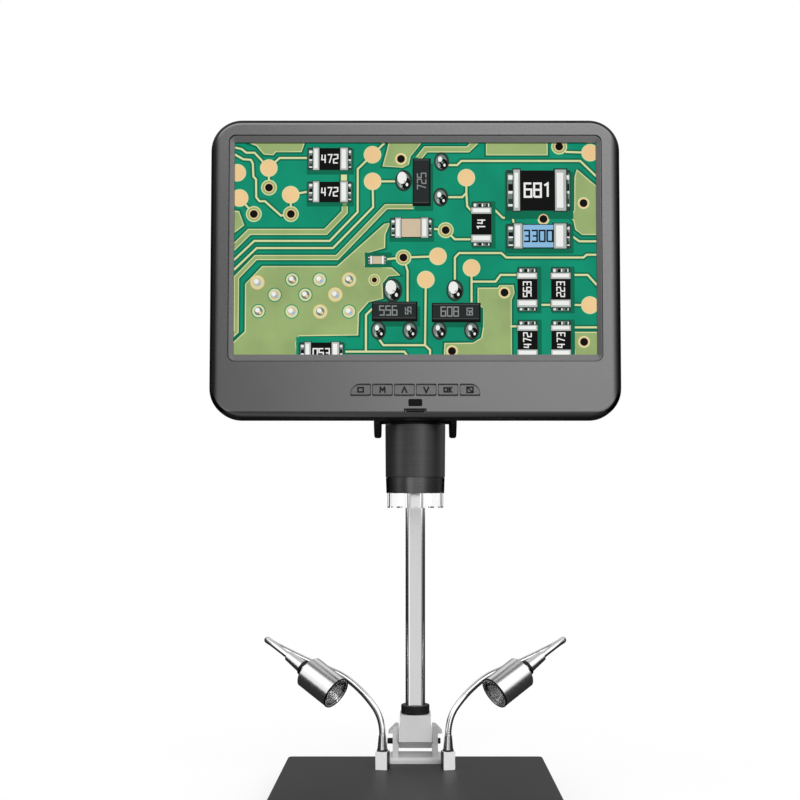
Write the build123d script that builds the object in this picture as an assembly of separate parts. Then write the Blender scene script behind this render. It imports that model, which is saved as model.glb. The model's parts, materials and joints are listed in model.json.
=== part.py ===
from build123d import *
import math
import os

# A desk-top digital microscope: a heavy base, a tilting column with a rack, a focus carriage
# that carries the camera barrel and a large screen, and two lamps on goosenecks.
# Millimetres, +Z up, +X to the user's right, the screen faces -Y.
# Everything is laid out from the column's axis (x = 0, y = 0) and moved to the origin at export.

os.makedirs("parts", exist_ok=True)

# ---------------------------------------------------------------- fits
FIT = 0.05            # radial clearance of pins, shafts and plugs in their bores
SEAT_GAP = 0.1        # side clearance of pieces dropped into a pocket
MOVING_GAP = 0.3      # gap between faces that slide or swing past each other
CUT_EXTRA = 1.0       # how far a cutting tool runs past the face it opens

# ---------------------------------------------------------------- base
BASE_WIDTH = 180.0
BASE_DEPTH = 200.0
BASE_HEIGHT = 13.0
BASE_CORNER = 3.0
BASE_EDGE = 1.2
BASE_WALL = 3.0
DECK_THICKNESS = 3.0
FOOT_HEIGHT = 2.5
FOOT_RADIUS = 8.0
FOOT_INSET = 21.0
COVER_THICKNESS = 1.5
BOSS_RADIUS = 3.5
BOSS_INSET = 9.0
BALLAST_DEPTH = 112.0
BALLAST_THICKNESS = 6.0
BALLAST_MARGIN = 3.0
COLUMN_SETBACK = 13.5     # column axis to the base's rear edge

COVER_TOP = FOOT_HEIGHT + COVER_THICKNESS
DECK_TOP = FOOT_HEIGHT + BASE_HEIGHT
DECK_UNDER = DECK_TOP - DECK_THICKNESS
BASE_REAR = COLUMN_SETBACK
BASE_FRONT = BASE_REAR - BASE_DEPTH
BASE_MIDDLE = (BASE_REAR + BASE_FRONT) / 2

# ---------------------------------------------------------------- screws
SCREW_RADIUS = 1.45
SCREW_HEAD_RADIUS = 2.8
SCREW_HEAD_HEIGHT = 1.3
COVER_SCREW_LENGTH = 7.0
CASE_SCREW_GRIP = 3.5     # thread length of the screws in the head and the screen

# ---------------------------------------------------------------- lamp supply inside the base
INLET_X = 50.0
INLET_WIDTH = 9.0
INLET_HEIGHT = 7.6
INLET_DEPTH = 12.0
INLET_NOSE_RADIUS = 3.7
INLET_BORE_RADIUS = 3.0
INLET_BORE_DEPTH = 10.0
INLET_PIN_RADIUS = 1.0
DRIVER_LENGTH = 56.0
DRIVER_WIDTH = 24.0
BOARD_THICKNESS = 1.6
DRIVER_STANDOFF = 2.4
STANDOFF_RADIUS = 2.5
DRIVER_SETBACK = 6.0      # gap between the inlet and the driver board

# ---------------------------------------------------------------- column bracket and tilt hinge
FLANGE_WIDTH = 37.4
FLANGE_DEPTH = 25.0
FLANGE_THICKNESS = 4.2
FLANGE_CORNER = 4.0
FLANGE_ROUND = 2.6
UPRIGHT_INNER = 11.75
UPRIGHT_THICKNESS = 3.9
UPRIGHT_DEPTH = 16.0
UPRIGHT_TOP = 24.8
EAR_LIP = 20.0            # height at which the flared ear starts
EAR_REACH = 18.7
EAR_TOP_REACH = 14.0
PIVOT_HEIGHT = 13.5
PIN_RADIUS = 2.0
PIN_LEFT = 19.5
PIN_RIGHT = 17.6
PIN_ROUND = 0.5
TONGUE_RADIUS = 5.0
BLOCK_SHOULDER = 20.0     # height where the block starts to narrow in front view
BLOCK_FRONT_LOW = 14.7    # lower edge of the block's front face
BLOCK_TOP = 32.8
BLOCK_DEPTH = 21.4
BLOCK_TOP_WIDTH = 21.4
BLOCK_NARROWING = 26.0    # height where the block reaches its upper width
SOCKET_DEPTH = 10.0
BRACKET_SCREW_X = 6.5
BRACKET_SCREW_Y = 7.0
BRACKET_SCREW_GRIP = 3.6

# ---------------------------------------------------------------- column and rack
COLUMN_WIDTH = 13.6
COLUMN_CORNER = 3.0
COLUMN_TOP = 320.0
COLLAR_RADIUS = 9.9
COLLAR_HEIGHT = 6.2
COLLAR_EDGE = 0.6
CAP_THICKNESS = 2.5
CAP_SPIGOT_RADIUS = 3.0
CAP_SPIGOT_LENGTH = 6.0
RACK_WIDTH = 5.0
RACK_SLOT_DEPTH = 2.4
RACK_STANDOFF = 0.4       # tooth root above the column's rear face
RACK_START = 112.0
RACK_END = 306.0
GEAR_MODULE = 0.8
PINION_TEETH = 12
GEAR_DEDENDUM = 1.25      # in modules
GEAR_BACKLASH = 0.12
PRESSURE_ANGLE = 20.0

GEAR_PITCH = math.pi * GEAR_MODULE
PITCH_RADIUS = GEAR_MODULE * PINION_TEETH / 2
RACK_ROOT_Y = COLUMN_WIDTH / 2 + RACK_STANDOFF
RACK_PITCH_Y = RACK_ROOT_Y + GEAR_DEDENDUM * GEAR_MODULE
RACK_TIP_Y = RACK_PITCH_Y + GEAR_MODULE
PINION_Y = RACK_PITCH_Y + PITCH_RADIUS

# ---------------------------------------------------------------- head heights above the deck
HEAD_HEIGHT = 228.6       # top rim of the barrel above the deck
PINION_RISE = 11.7        # focus shaft above that rim
OPTICAL_Y = -80.0         # optical axis in front of the column's axis

BARREL_TOP = DECK_TOP + HEAD_HEIGHT
PINION_Z = BARREL_TOP + PINION_RISE

# ---------------------------------------------------------------- focus carriage
CARRIAGE_HALF_WIDTH = 15.0
CARRIAGE_FRONT = 13.0
CARRIAGE_WALL = 4.0
CARRIAGE_BELOW = 26.0     # below the focus shaft
CARRIAGE_ABOVE = 36.0
CARRIAGE_EDGE = 2.0
SHAFT_RADIUS = 3.0
GEAR_WIDTH = 4.6
SHAFT_END = 27.0
KNOB_RADIUS = 15.0
KNOB_THICKNESS = 4.9
KNOB_INNER_X = 24.05
KNOB_HUB_RADIUS = 5.2
KNOB_CHAMFER = 0.9
KNOB_FLUTES = 36
FLUTE_RADIUS = 0.7
FLUTE_OFFSET = 0.35       # flute centre outside the rim
LOCK_RISE = 25.0          # lock screw above the focus shaft
LOCK_SCREW_RADIUS = 2.5
LOCK_KNOB_RADIUS = 7.0
LOCK_KNOB_LENGTH = 11.0
LOCK_LOBES = 5
LOCK_LOBE_RADIUS = 4.0
LOCK_LOBE_OFFSET = 8.6

CARRIAGE_REAR = PINION_Y + PITCH_RADIUS + GEAR_MODULE + CARRIAGE_WALL
CARRIAGE_BOTTOM = PINION_Z - CARRIAGE_BELOW
CARRIAGE_TOP = PINION_Z + CARRIAGE_ABOVE

# ---------------------------------------------------------------- camera barrel
BARREL_RADIUS = 18.95
BARREL_DRAFT = 0.25       # how much the barrel narrows to its lower rim
BARREL_LENGTH = 33.2
BARREL_WALL = 2.5
BARREL_RIM_ROUND = 0.8
BARREL_FLOOR = 2.6
CELL_RADIUS = 12.9
CELL_BORE = 9.5
CELL_BELOW = 7.0          # lens cell below the barrel
CELL_ABOVE = 14.0
LENS_RADIUS = 8.6
LENS_THICKNESS = 3.2
LENS_BULGE = 1.2
LENS_LEDGE = 1.2
SENSOR_BOARD_RADIUS = 15.0
SENSOR_SIZE = 7.0
RING_LENGTH = 9.6
RING_SEAM = 0.3
RING_STEP = 0.3
HOOD_RADIUS = 17.65
HOOD_WALL = 1.35
HOOD_REACH = 9.3
HOOD_SEAT = 2.5
HOOD_NOTCHES = 10
HOOD_NOTCH_WIDTH = 2.8
HOOD_NOTCH_HEIGHT = 0.9

BARREL_BOTTOM = BARREL_TOP - BARREL_LENGTH
RING_TOP = BARREL_BOTTOM - RING_SEAM
RING_BOTTOM = RING_TOP - RING_LENGTH
RING_RADIUS = BARREL_RADIUS - BARREL_DRAFT - RING_STEP / 2
BARREL_BORE = BARREL_RADIUS - BARREL_WALL

# ---------------------------------------------------------------- camera head and its arm
HEAD_FRONT = 1.5          # head casing in front of the optical axis
HEAD_HALF_WIDTH = 18.8
HEAD_LENGTH = 35.5
HEAD_WALL = 2.2
PLUG_DEPTH = 6.0
PLUG_CAP = 0.75
HEAD_KNUCKLE_HALF = 13.6
HEAD_SHOULDER_DROP = 8.0  # shoulder below the screen hinge's axis
HEAD_FLOOR = 2.4
HEAD_CAVITY_TOP = 24.0    # cavity's ceiling above the barrel's rim
CABLE_HOLE_RADIUS = 3.0
HEAD_COVER_THICKNESS = 3.0
ARM_FLANGE_THICKNESS = 4.0
ARM_FLANGE_HALF = 13.5
ARM_BEAM_HEIGHT = 15.0
ARM_EDGE = 1.0
ARM_SCREW_Z = 6.0

HEAD_REAR = OPTICAL_Y - HEAD_FRONT + HEAD_LENGTH
ARM_BOTTOM = BARREL_TOP + HEAD_FLOOR
ARM_TOP = BARREL_TOP + HEAD_CAVITY_TOP - HEAD_WALL
ARM_MIDDLE = (ARM_BOTTOM + ARM_TOP) / 2
ARM_SCREW_X = ARM_FLANGE_HALF - SCREW_HEAD_RADIUS
ARM_BEAM_HALF = ARM_SCREW_X - SCREW_HEAD_RADIUS - MOVING_GAP

# ---------------------------------------------------------------- screen
# Built upright with its front face in y = 0 and its lower edge in z = 0, then leant back.
VIEW_WIDTH = 221.5
VIEW_HEIGHT = 131.2
FRAME_SIDE = 3.35         # sloping frame beside the view
FRAME_TOP = 4.4           # sloping frame above and below the view
BEZEL_SIDE = 11.3         # bezel beside the window
BEZEL_TOP = 10.0
WINDOW_BOTTOM = 35.0
SCREEN_LEAN = 3.0
SCREEN_FORWARD = 31.2     # lower front edge in front of the optical axis
SCREEN_LIFT = 1.5         # lower edge above the barrel's rim
SCREEN_CORNER = 19.0
BEZEL_DEPTH = 10.0
BEZEL_EDGE = 3.8
BEZEL_SKIN = 2.5
SHELL_DEPTH = 16.0
SHELL_DRAFT = 8.0
SHELL_EDGE = 3.0
SHELL_LIP = 1.2
SHELL_LIP_DEPTH = 2.0
WINDOW_CORNER = 4.2
FRAME_LINE = 0.35         # dark line between the bezel and the sloping frame
FRAME_SETBACK = 0.7       # frame's outer edge behind the bezel's face
FRAME_SLOPE = 0.5
FRAME_CORNER = 0.3        # corner of the slope where it meets the view
FRAME_FLANGE = 0.6
FRAME_RIM = 0.4           # flat rim round the slope
FRAME_THICKNESS = 2.3
PANEL_SIDE = 2.25         # panel beyond the view at each side
PANEL_TOP = 2.9           # panel beyond the view above and below
PANEL_THICKNESS = 5.5
SHELL_SCREW_INSET_X = 53.0
SHELL_SCREW_INSET_Z = 23.5
SHELL_SCREW_BOSS = 4.5
PANEL_POST_LENGTH = 4.0
VENT_COUNT = 14
VENT_WIDTH = 2.0
VENT_HEIGHT = 22.0
VENT_PITCH = 7.0
VENT_DROP = 44.4          # vents' lower ends below the screen's top edge

MAIN_BOARD_WIDTH = 124.0
MAIN_BOARD_HEIGHT = 66.0
MAIN_BOARD_POST = 5.0
MAIN_BOARD_POST_INSET = 5.0
MAIN_BOARD_RISE = 35.0    # board's lower edge above the window's
CHIP_SIZE = 7.0
PORT_DEPTH = 11.0
PORT_HEIGHT = 5.5
VIDEO_PORT_UP = 10.0      # each port's middle above the board's lower edge
VIDEO_PORT_WIDTH = 15.0
DATA_PORT_UP = 28.0
DATA_PORT_WIDTH = 9.0
POWER_PORT_UP = 42.0
POWER_PORT_WIDTH = 7.5
PORT_LIP = 0.4            # port mouth inside the shell's outer face

HINGE_BEHIND = 7.5        # hinge axis behind the shell's rear face
HINGE_UP = 33.0           # hinge axis above the screen's lower edge
HINGE_KNUCKLE = 6.6
HINGE_LUG = 6.0
HINGE_LUG_WIDTH = 6.0
HINGE_PIN_RADIUS = 2.0

WINDOW_WIDTH = VIEW_WIDTH + 2 * FRAME_SIDE
WINDOW_HEIGHT = VIEW_HEIGHT + 2 * FRAME_TOP
SCREEN_WIDTH = WINDOW_WIDTH + 2 * BEZEL_SIDE
SCREEN_HEIGHT = WINDOW_BOTTOM + WINDOW_HEIGHT + BEZEL_TOP
PANEL_WIDTH = VIEW_WIDTH + 2 * PANEL_SIDE
PANEL_HEIGHT = VIEW_HEIGHT + 2 * PANEL_TOP
SHELL_SCREW_X = PANEL_WIDTH / 2 - SHELL_SCREW_INSET_X
SHELL_SCREW_Z = PANEL_HEIGHT / 2 - SHELL_SCREW_INSET_Z
VENT_BOTTOM = SCREEN_HEIGHT - VENT_DROP
MAIN_BOARD_BOTTOM = WINDOW_BOTTOM + MAIN_BOARD_RISE
SCREEN_Y = OPTICAL_Y - SCREEN_FORWARD
SCREEN_Z = BARREL_TOP + SCREEN_LIFT
SCREEN_REAR = BEZEL_DEPTH + SHELL_DEPTH
SCREEN_PLACE = Pos(0, SCREEN_Y, SCREEN_Z) * Rot(-SCREEN_LEAN, 0, 0)
LEAN_SIN = math.sin(math.radians(SCREEN_LEAN))
LEAN_COS = math.cos(math.radians(SCREEN_LEAN))
HINGE_DEPTH = SCREEN_REAR + HINGE_BEHIND
HINGE_Y = SCREEN_Y + HINGE_DEPTH * LEAN_COS + HINGE_UP * LEAN_SIN
HINGE_Z = SCREEN_Z - HINGE_DEPTH * LEAN_SIN + HINGE_UP * LEAN_COS
PANEL_FRONT = FRAME_SETBACK + FRAME_SLOPE + FRAME_THICKNESS
PANEL_BACK = PANEL_FRONT + PANEL_THICKNESS

# ---------------------------------------------------------------- buttons, sensor window, card
BUTTON_NAMES = ["power", "menu", "up", "down", "ok", "capture"]
BUTTON_PITCH = 13.25
BUTTON_SPACE = 1.55       # between two keys
BUTTON_WIDTH = BUTTON_PITCH - BUTTON_SPACE
BUTTON_HEIGHT = 5.6
BUTTON_Z = 17.6           # row's middle above the screen's lower edge
BUTTON_GAP = 0.3          # slot beside a key
BUTTON_GROOVE = 1.05      # slot above and below a key
BUTTON_PROUD = 0.35
BUTTON_TRAVEL = 0.6
BUTTON_CORNER = 0.7
BUTTON_END_ROUND = 4.9
BUTTON_FLANGE = 0.25      # retaining flange beyond the slot, above and below
BUTTON_FLANGE_THICKNESS = 0.9
BUTTON_STEM_RADIUS = 1.5
BUTTON_STEM = 2.5
SWITCH_SIZE = 4.0
SWITCH_HEIGHT = 3.2
SWITCH_SLACK = 0.15       # stem to switch when the button is fully pressed
BUTTON_BOARD_MARGIN = 0.8     # board beyond the receiver's lower edge
BUTTON_BOARD_POST_RADIUS = 2.4
IR_WIDTH = 8.2
IR_HEIGHT = 4.2
IR_Z = 9.9
IR_CORNER = 0.8
IR_RIM = 0.8
CARD_WIDTH = 11.0
CARD_LENGTH = 15.0
CARD_THICKNESS = 1.0
CARD_X = 0.0
CARD_Z = 5.2
CARD_SETBACK = 0.4
SLOT_WIDTH = 13.6
SLOT_HEIGHT = 2.3
SOCKET_WALL = 0.35
SOCKET_LENGTH = 14.0

BUTTON_FLANGE_FRONT = BEZEL_SKIN + MOVING_GAP
STEM_END = BUTTON_FLANGE_FRONT + BUTTON_FLANGE_THICKNESS + BUTTON_STEM
SWITCH_TOP = STEM_END + BUTTON_TRAVEL + SWITCH_SLACK
BUTTON_BOARD_FRONT = SWITCH_TOP + SWITCH_HEIGHT

# ---------------------------------------------------------------- lamps
# The right-hand lamp; the left-hand one is its mirror image. Heights are above the deck.
CLAMP_X = 22.2
CLAMP_Y = -27.4
CLAMP_SIZE = 8.0
CLAMP_HEIGHT = 12.0
CLAMP_YAW = 12.0
CLAMP_EDGE = 0.5
GROMMET_RADIUS = 3.7
GROMMET_HEIGHT = 1.2
FERRULE_FOOT_RADIUS = 3.4
FERRULE_TIP_RADIUS = 2.5
FERRULE_HEIGHT = 9.4
NECK_RADIUS = 2.2
NECK_GAP = 0.3            # gap between the rounded ends at each bending point
LAMP_RADIUS = 11.0
LAMP_LENGTH = 26.0
LAMP_WALL = 1.2
LAMP_BACK_WALL = 4.0
LAMP_EDGE = 0.8
LAMP_X = 61.6
LAMP_Y = -42.5
LAMP_HEIGHT = 60.5
LAMP_AIM_HEIGHT = 20.0    # point on the optical axis that the lamps aim at
TAIL_LENGTH = 19.0
TAIL_FOOT_RADIUS = 5.0
TAIL_TIP_RADIUS = 3.4
TAIL_RUN = 17.0           # straight neck beyond the lamp's tail before it loops
REFLECTOR_DEPTH = 11.0
REFLECTOR_THROAT = 3.2
REFLECTOR_WALL = 0.8
LED_BOARD_THICKNESS = 1.6
LED_SIZE = 3.5
LED_HEIGHT = 1.2
LENS_SETBACK = 1.2
LAMP_LENS_THICKNESS = 1.2
LAMP_RIM = 0.7

NECK_LOW = [(22.2, -26.4, 33.8), (33.8, -20.5, 48.9), (48.3, -14.5, 60.6)]
NECK_BEND = (61.8, -12.2, 65.8)
NECK_HIGH = [(75.0, -10.0, 70.8), (101.4, -8.0, 83.6)]
BEND_SHARE = 0.45         # part of the shorter run beside a corner that its bend may use

LAMP_CENTRE = Vector(LAMP_X, LAMP_Y, DECK_TOP + LAMP_HEIGHT)
LAMP_TARGET = Vector(0, OPTICAL_Y, DECK_TOP + LAMP_AIM_HEIGHT)
LAMP_AXIS = (LAMP_TARGET - LAMP_CENTRE).normalized()
BEND_OFFSET = NECK_RADIUS + NECK_GAP / 2
FERRULE_TOP = Vector(CLAMP_X, CLAMP_Y, DECK_TOP + CLAMP_HEIGHT + GROMMET_HEIGHT + FERRULE_HEIGHT)
TAIL_END = LAMP_CENTRE - LAMP_AXIS * (LAMP_LENGTH / 2 + TAIL_LENGTH)

# Joint places: the neck's root bend, its middle bend and the lamp's own bend.
ROOT_BEND = FERRULE_TOP + Vector(0, 0, BEND_OFFSET)
MIDDLE_BEND = Vector(*NECK_BEND) + Vector(0, 0, DECK_TOP)
LAMP_BEND = TAIL_END - LAMP_AXIS * BEND_OFFSET

# ---------------------------------------------------------------- origin
# Middle of the footprint box: the focus knobs reach further back than the base.
REARMOST = max(BASE_REAR, PINION_Y + KNOB_RADIUS)
ORIGIN_Y = (BASE_FRONT + REARMOST) / 2
TO_ORIGIN = Pos(0, -ORIGIN_Y, 0)


# ================================================================ helpers
def block(x0, x1, y0, y1, z0, z1):
    """A box between two corners."""
    centre = Pos((x0 + x1) / 2, (y0 + y1) / 2, (z0 + z1) / 2)
    return centre * Box(x1 - x0, y1 - y0, z1 - z0)


def rod_x(radius, x0, x1, y, z):
    """A round bar along X."""
    return Pos((x0 + x1) / 2, y, z) * Rot(0, 90, 0) * Cylinder(radius, x1 - x0)


def rod_y(radius, y0, y1, x, z):
    """A round bar along Y."""
    return Pos(x, (y0 + y1) / 2, z) * Rot(90, 0, 0) * Cylinder(radius, y1 - y0)


def rod_z(radius, z0, z1, x=0.0, y=0.0):
    """A round bar along Z."""
    return Pos(x, y, (z0 + z1) / 2) * Cylinder(radius, z1 - z0)


def cone_z(foot_radius, top_radius, z0, z1, x=0.0, y=0.0):
    """A round taper along Z."""
    return Pos(x, y, (z0 + z1) / 2) * Cone(foot_radius, top_radius, z1 - z0)


def rounded_bar(width, depth, corner, z0, z1, y=0.0):
    """A vertical bar with a rounded rectangular section."""
    return Pos(0, y, z0) * extrude(RectangleRounded(width, depth, corner), z1 - z0)


def slab(sketch, front, back, up=0.0):
    """A sketch in the X-Z plane turned into a slab between two depths along +Y."""
    return Pos(0, back, up) * extrude(Plane.XZ * sketch, back - front)


def countersunk_screw(length, radius=SCREW_RADIUS, head=SCREW_HEAD_RADIUS, spare=0.0):
    """A countersunk screw standing on its head in z = 0; spare widens it into its own hole."""
    cone = cone_z(head + spare, radius + spare, 0, SCREW_HEAD_HEIGHT)
    return cone + rod_z(radius + spare, 0, length + spare)


def pan_screw(length, radius=SCREW_RADIUS, head=SCREW_HEAD_RADIUS):
    """A pan-head screw whose head sits below z = 0 and whose shank points up."""
    return rod_z(head, -SCREW_HEAD_HEIGHT, 0) + rod_z(radius, -SCREW_HEAD_HEIGHT, length)


def both_sides(shape):
    """The shape and its mirror image across the X = 0 plane."""
    return [shape, mirror(shape, Plane.YZ)]


def save(name, *shapes):
    """Write one sub-part, moved to the object's origin."""
    placed = [TO_ORIGIN * shape for shape in shapes]
    node = placed[0] if len(placed) == 1 else Compound(children=placed)
    export_step(node, os.path.join("parts", name + ".step"))


# ================================================================ base
def boss_places():
    """Plan positions of the six cover screws."""
    across = BASE_WIDTH / 2 - BOSS_INSET
    along = [BASE_FRONT + BOSS_INSET, BASE_MIDDLE, BASE_REAR - BOSS_INSET]
    return [(x, y) for x in (-across, across) for y in along]


def bracket_screw_places():
    """Plan positions of the four screws that hold the bracket from below."""
    return [(x, y) for x in (-BRACKET_SCREW_X, BRACKET_SCREW_X) for y in (-BRACKET_SCREW_Y, BRACKET_SCREW_Y)]


def clamp_screw_places():
    """Plan positions of the screws that hold the lamp clamps from below."""
    return [(-CLAMP_X, CLAMP_Y), (CLAMP_X, CLAMP_Y)]


def driver_posts():
    """Plan positions of the posts under the lamp driver board."""
    middle = BASE_REAR - BASE_WALL - INLET_DEPTH - DRIVER_SETBACK - DRIVER_WIDTH / 2
    across = DRIVER_LENGTH / 2 - STANDOFF_RADIUS
    along = DRIVER_WIDTH / 2 - STANDOFF_RADIUS
    return [(INLET_X + i * across, middle + j * along) for i in (-1, 1) for j in (-1, 1)]


def inlet_height():
    """Height of the supply inlet's axis."""
    return COVER_TOP + INLET_HEIGHT / 2


def base_housing():
    """Upturned tray: deck, skirt, screw bosses and the holes through them."""
    body = rounded_bar(BASE_WIDTH, BASE_DEPTH, BASE_CORNER, FOOT_HEIGHT, DECK_TOP, BASE_MIDDLE)
    body = fillet(body.faces().sort_by(Axis.Z)[-1].edges(), BASE_EDGE)
    inside = (BASE_WIDTH - 2 * BASE_WALL, BASE_DEPTH - 2 * BASE_WALL)
    inner_corner = max(BASE_CORNER - BASE_WALL / 2, BASE_EDGE)
    body -= rounded_bar(*inside, inner_corner, FOOT_HEIGHT - CUT_EXTRA, DECK_UNDER, BASE_MIDDLE)
    for x, y in boss_places():
        body += rod_z(BOSS_RADIUS, COVER_TOP, DECK_UNDER, x, y)
        body -= rod_z(SCREW_RADIUS + FIT, COVER_TOP - CUT_EXTRA, FOOT_HEIGHT + COVER_SCREW_LENGTH + FIT, x, y)
    for x, y in bracket_screw_places() + clamp_screw_places():
        body -= rod_z(SCREW_RADIUS + FIT, DECK_UNDER - CUT_EXTRA, DECK_TOP + CUT_EXTRA, x, y)
    hole = rod_y(INLET_NOSE_RADIUS + FIT, BASE_REAR - BASE_WALL - CUT_EXTRA, BASE_REAR + CUT_EXTRA,
                 INLET_X, inlet_height())
    return body - hole


def base_bottom_cover():
    """Bottom plate inside the skirt, with posts for the driver board."""
    width = BASE_WIDTH - 2 * BASE_WALL - 2 * SEAT_GAP
    depth = BASE_DEPTH - 2 * BASE_WALL - 2 * SEAT_GAP
    corner = max(BASE_CORNER - BASE_WALL / 2, BASE_EDGE)
    plate = rounded_bar(width, depth, corner, FOOT_HEIGHT, COVER_TOP, BASE_MIDDLE)
    for x, y in driver_posts():
        plate += rod_z(STANDOFF_RADIUS, COVER_TOP, COVER_TOP + DRIVER_STANDOFF, x, y)
    for x, y in boss_places():
        plate -= Pos(x, y, FOOT_HEIGHT) * countersunk_screw(COVER_SCREW_LENGTH, spare=FIT)
    return plate


def base_ballast():
    """Steel weight lying on the bottom plate."""
    side = BOSS_INSET + BOSS_RADIUS + BALLAST_MARGIN
    front = BASE_FRONT + side
    return block(-BASE_WIDTH / 2 + side, BASE_WIDTH / 2 - side, front, front + BALLAST_DEPTH,
                 COVER_TOP, COVER_TOP + BALLAST_THICKNESS)


def base_feet():
    """Four rubber feet under the bottom plate."""
    feet = []
    for x in (-BASE_WIDTH / 2 + FOOT_INSET, BASE_WIDTH / 2 - FOOT_INSET):
        for y in (BASE_FRONT + FOOT_INSET, BASE_REAR - FOOT_INSET):
            foot = rod_z(FOOT_RADIUS, 0, FOOT_HEIGHT, x, y)
            feet.append(fillet(foot.faces().sort_by(Axis.Z)[0].edges(), BASE_EDGE / 2))
    return feet


def base_screws():
    """Six cover screws, four bracket screws and two lamp clamp screws."""
    cover = [Pos(x, y, FOOT_HEIGHT) * countersunk_screw(COVER_SCREW_LENGTH) for x, y in boss_places()]
    grip = DECK_THICKNESS + BRACKET_SCREW_GRIP
    deck = [Pos(x, y, DECK_UNDER) * pan_screw(grip) for x, y in bracket_screw_places() + clamp_screw_places()]
    return cover + deck


def power_inlet():
    """Round low-voltage inlet for the lamps, its nose level with the skirt's rear face."""
    rear = BASE_REAR - BASE_WALL
    z = inlet_height()
    body = block(INLET_X - INLET_WIDTH / 2, INLET_X + INLET_WIDTH / 2, rear - INLET_DEPTH, rear,
                 COVER_TOP, COVER_TOP + INLET_HEIGHT)
    body += rod_y(INLET_NOSE_RADIUS, rear, BASE_REAR, INLET_X, z)
    body -= rod_y(INLET_BORE_RADIUS, BASE_REAR - INLET_BORE_DEPTH, BASE_REAR + CUT_EXTRA, INLET_X, z)
    return body + rod_y(INLET_PIN_RADIUS, BASE_REAR - INLET_BORE_DEPTH, BASE_REAR - FIT, INLET_X, z)


def lamp_driver_board():
    """Board that feeds both lamps: plate, driver chip, coil and a connector to the inlet."""
    posts = driver_posts()
    middle = sum(y for x, y in posts) / len(posts)
    z = COVER_TOP + DRIVER_STANDOFF
    board = block(INLET_X - DRIVER_LENGTH / 2, INLET_X + DRIVER_LENGTH / 2,
                  middle - DRIVER_WIDTH / 2, middle + DRIVER_WIDTH / 2, z, z + BOARD_THICKNESS)
    top = z + BOARD_THICKNESS
    chip = block(INLET_X - SENSOR_SIZE, INLET_X, middle - SENSOR_SIZE / 2, middle + SENSOR_SIZE / 2,
                 top, top + BOARD_THICKNESS)
    coil = rod_z(SENSOR_SIZE / 2, top, top + DRIVER_STANDOFF, INLET_X + SENSOR_SIZE, middle)
    return board + chip + coil


# ================================================================ bracket, hinge and column
def column_bracket():
    """U-shaped bracket: a flange on the deck and two uprights with flared ears."""
    flange = rounded_bar(FLANGE_WIDTH, FLANGE_DEPTH, FLANGE_CORNER, DECK_TOP, DECK_TOP + FLANGE_THICKNESS)
    flange = fillet(flange.faces().sort_by(Axis.Z)[-1].edges(), FLANGE_ROUND)
    outer = UPRIGHT_INNER + UPRIGHT_THICKNESS
    outline = Polyline(
        (UPRIGHT_INNER, FLANGE_THICKNESS / 2),
        (outer, FLANGE_THICKNESS / 2),
        (outer, EAR_LIP),
        (EAR_REACH, EAR_LIP),
        (EAR_TOP_REACH, UPRIGHT_TOP),
        (UPRIGHT_INNER, UPRIGHT_TOP),
        close=True,
    )
    upright = slab(make_face(outline), -UPRIGHT_DEPTH / 2, UPRIGHT_DEPTH / 2, DECK_TOP)
    for side in both_sides(upright):
        flange += side
    reach = FLANGE_WIDTH / 2 + CUT_EXTRA
    flange -= rod_x(PIN_RADIUS + FIT, -reach, reach, 0, DECK_TOP + PIVOT_HEIGHT)
    for x, y in bracket_screw_places():
        flange -= rod_z(SCREW_RADIUS + FIT, DECK_TOP - CUT_EXTRA, DECK_TOP + BRACKET_SCREW_GRIP + FIT, x, y)
    return flange


def hinge_pin():
    """Pin of the column's tilt hinge."""
    pin = rod_x(PIN_RADIUS, -PIN_LEFT, PIN_RIGHT, 0, DECK_TOP + PIVOT_HEIGHT)
    return fillet(pin.edges().filter_by(GeomType.CIRCLE), PIN_ROUND)


def hinge_block():
    """Block between the uprights: round tongue on the pin, socket for the column on top."""
    half_tongue = UPRIGHT_INNER - MOVING_GAP
    half_top = BLOCK_TOP_WIDTH / 2
    front = Polyline(
        (-half_tongue, PIVOT_HEIGHT - TONGUE_RADIUS),
        (half_tongue, PIVOT_HEIGHT - TONGUE_RADIUS),
        (half_tongue, BLOCK_SHOULDER),
        (half_top, BLOCK_NARROWING),
        (half_top, BLOCK_TOP),
        (-half_top, BLOCK_TOP),
        (-half_top, BLOCK_NARROWING),
        (-half_tongue, BLOCK_SHOULDER),
        close=True,
    )
    body = slab(make_face(front), -BLOCK_DEPTH / 2, BLOCK_DEPTH / 2, DECK_TOP)
    upper = Pos(0, (BLOCK_TOP + BLOCK_FRONT_LOW) / 2) * Rectangle(BLOCK_DEPTH, BLOCK_TOP - BLOCK_FRONT_LOW)
    tongue = Pos(0, PIVOT_HEIGHT) * Circle(TONGUE_RADIUS)
    profile = make_hull((upper + tongue).edges())
    side = extrude(Plane.YZ * profile, half_tongue + CUT_EXTRA, both=True)
    body = body & (Pos(0, 0, DECK_TOP) * side)
    reach = half_tongue + CUT_EXTRA
    body -= rod_x(PIN_RADIUS + FIT, -reach, reach, 0, DECK_TOP + PIVOT_HEIGHT)
    socket = COLUMN_WIDTH + 2 * FIT
    body -= rounded_bar(socket, socket, COLUMN_CORNER, DECK_TOP + BLOCK_TOP - SOCKET_DEPTH,
                        DECK_TOP + BLOCK_TOP + CUT_EXTRA)
    return body


def column_collar():
    """Black ring round the foot of the column."""
    foot = DECK_TOP + BLOCK_TOP
    ring = rod_z(COLLAR_RADIUS, foot, foot + COLLAR_HEIGHT)
    ring = fillet(ring.edges().filter_by(GeomType.CIRCLE), COLLAR_EDGE)
    hole = COLUMN_WIDTH + 2 * FIT
    return ring - rounded_bar(hole, hole, COLUMN_CORNER, foot - CUT_EXTRA, foot + COLLAR_HEIGHT + CUT_EXTRA)


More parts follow.
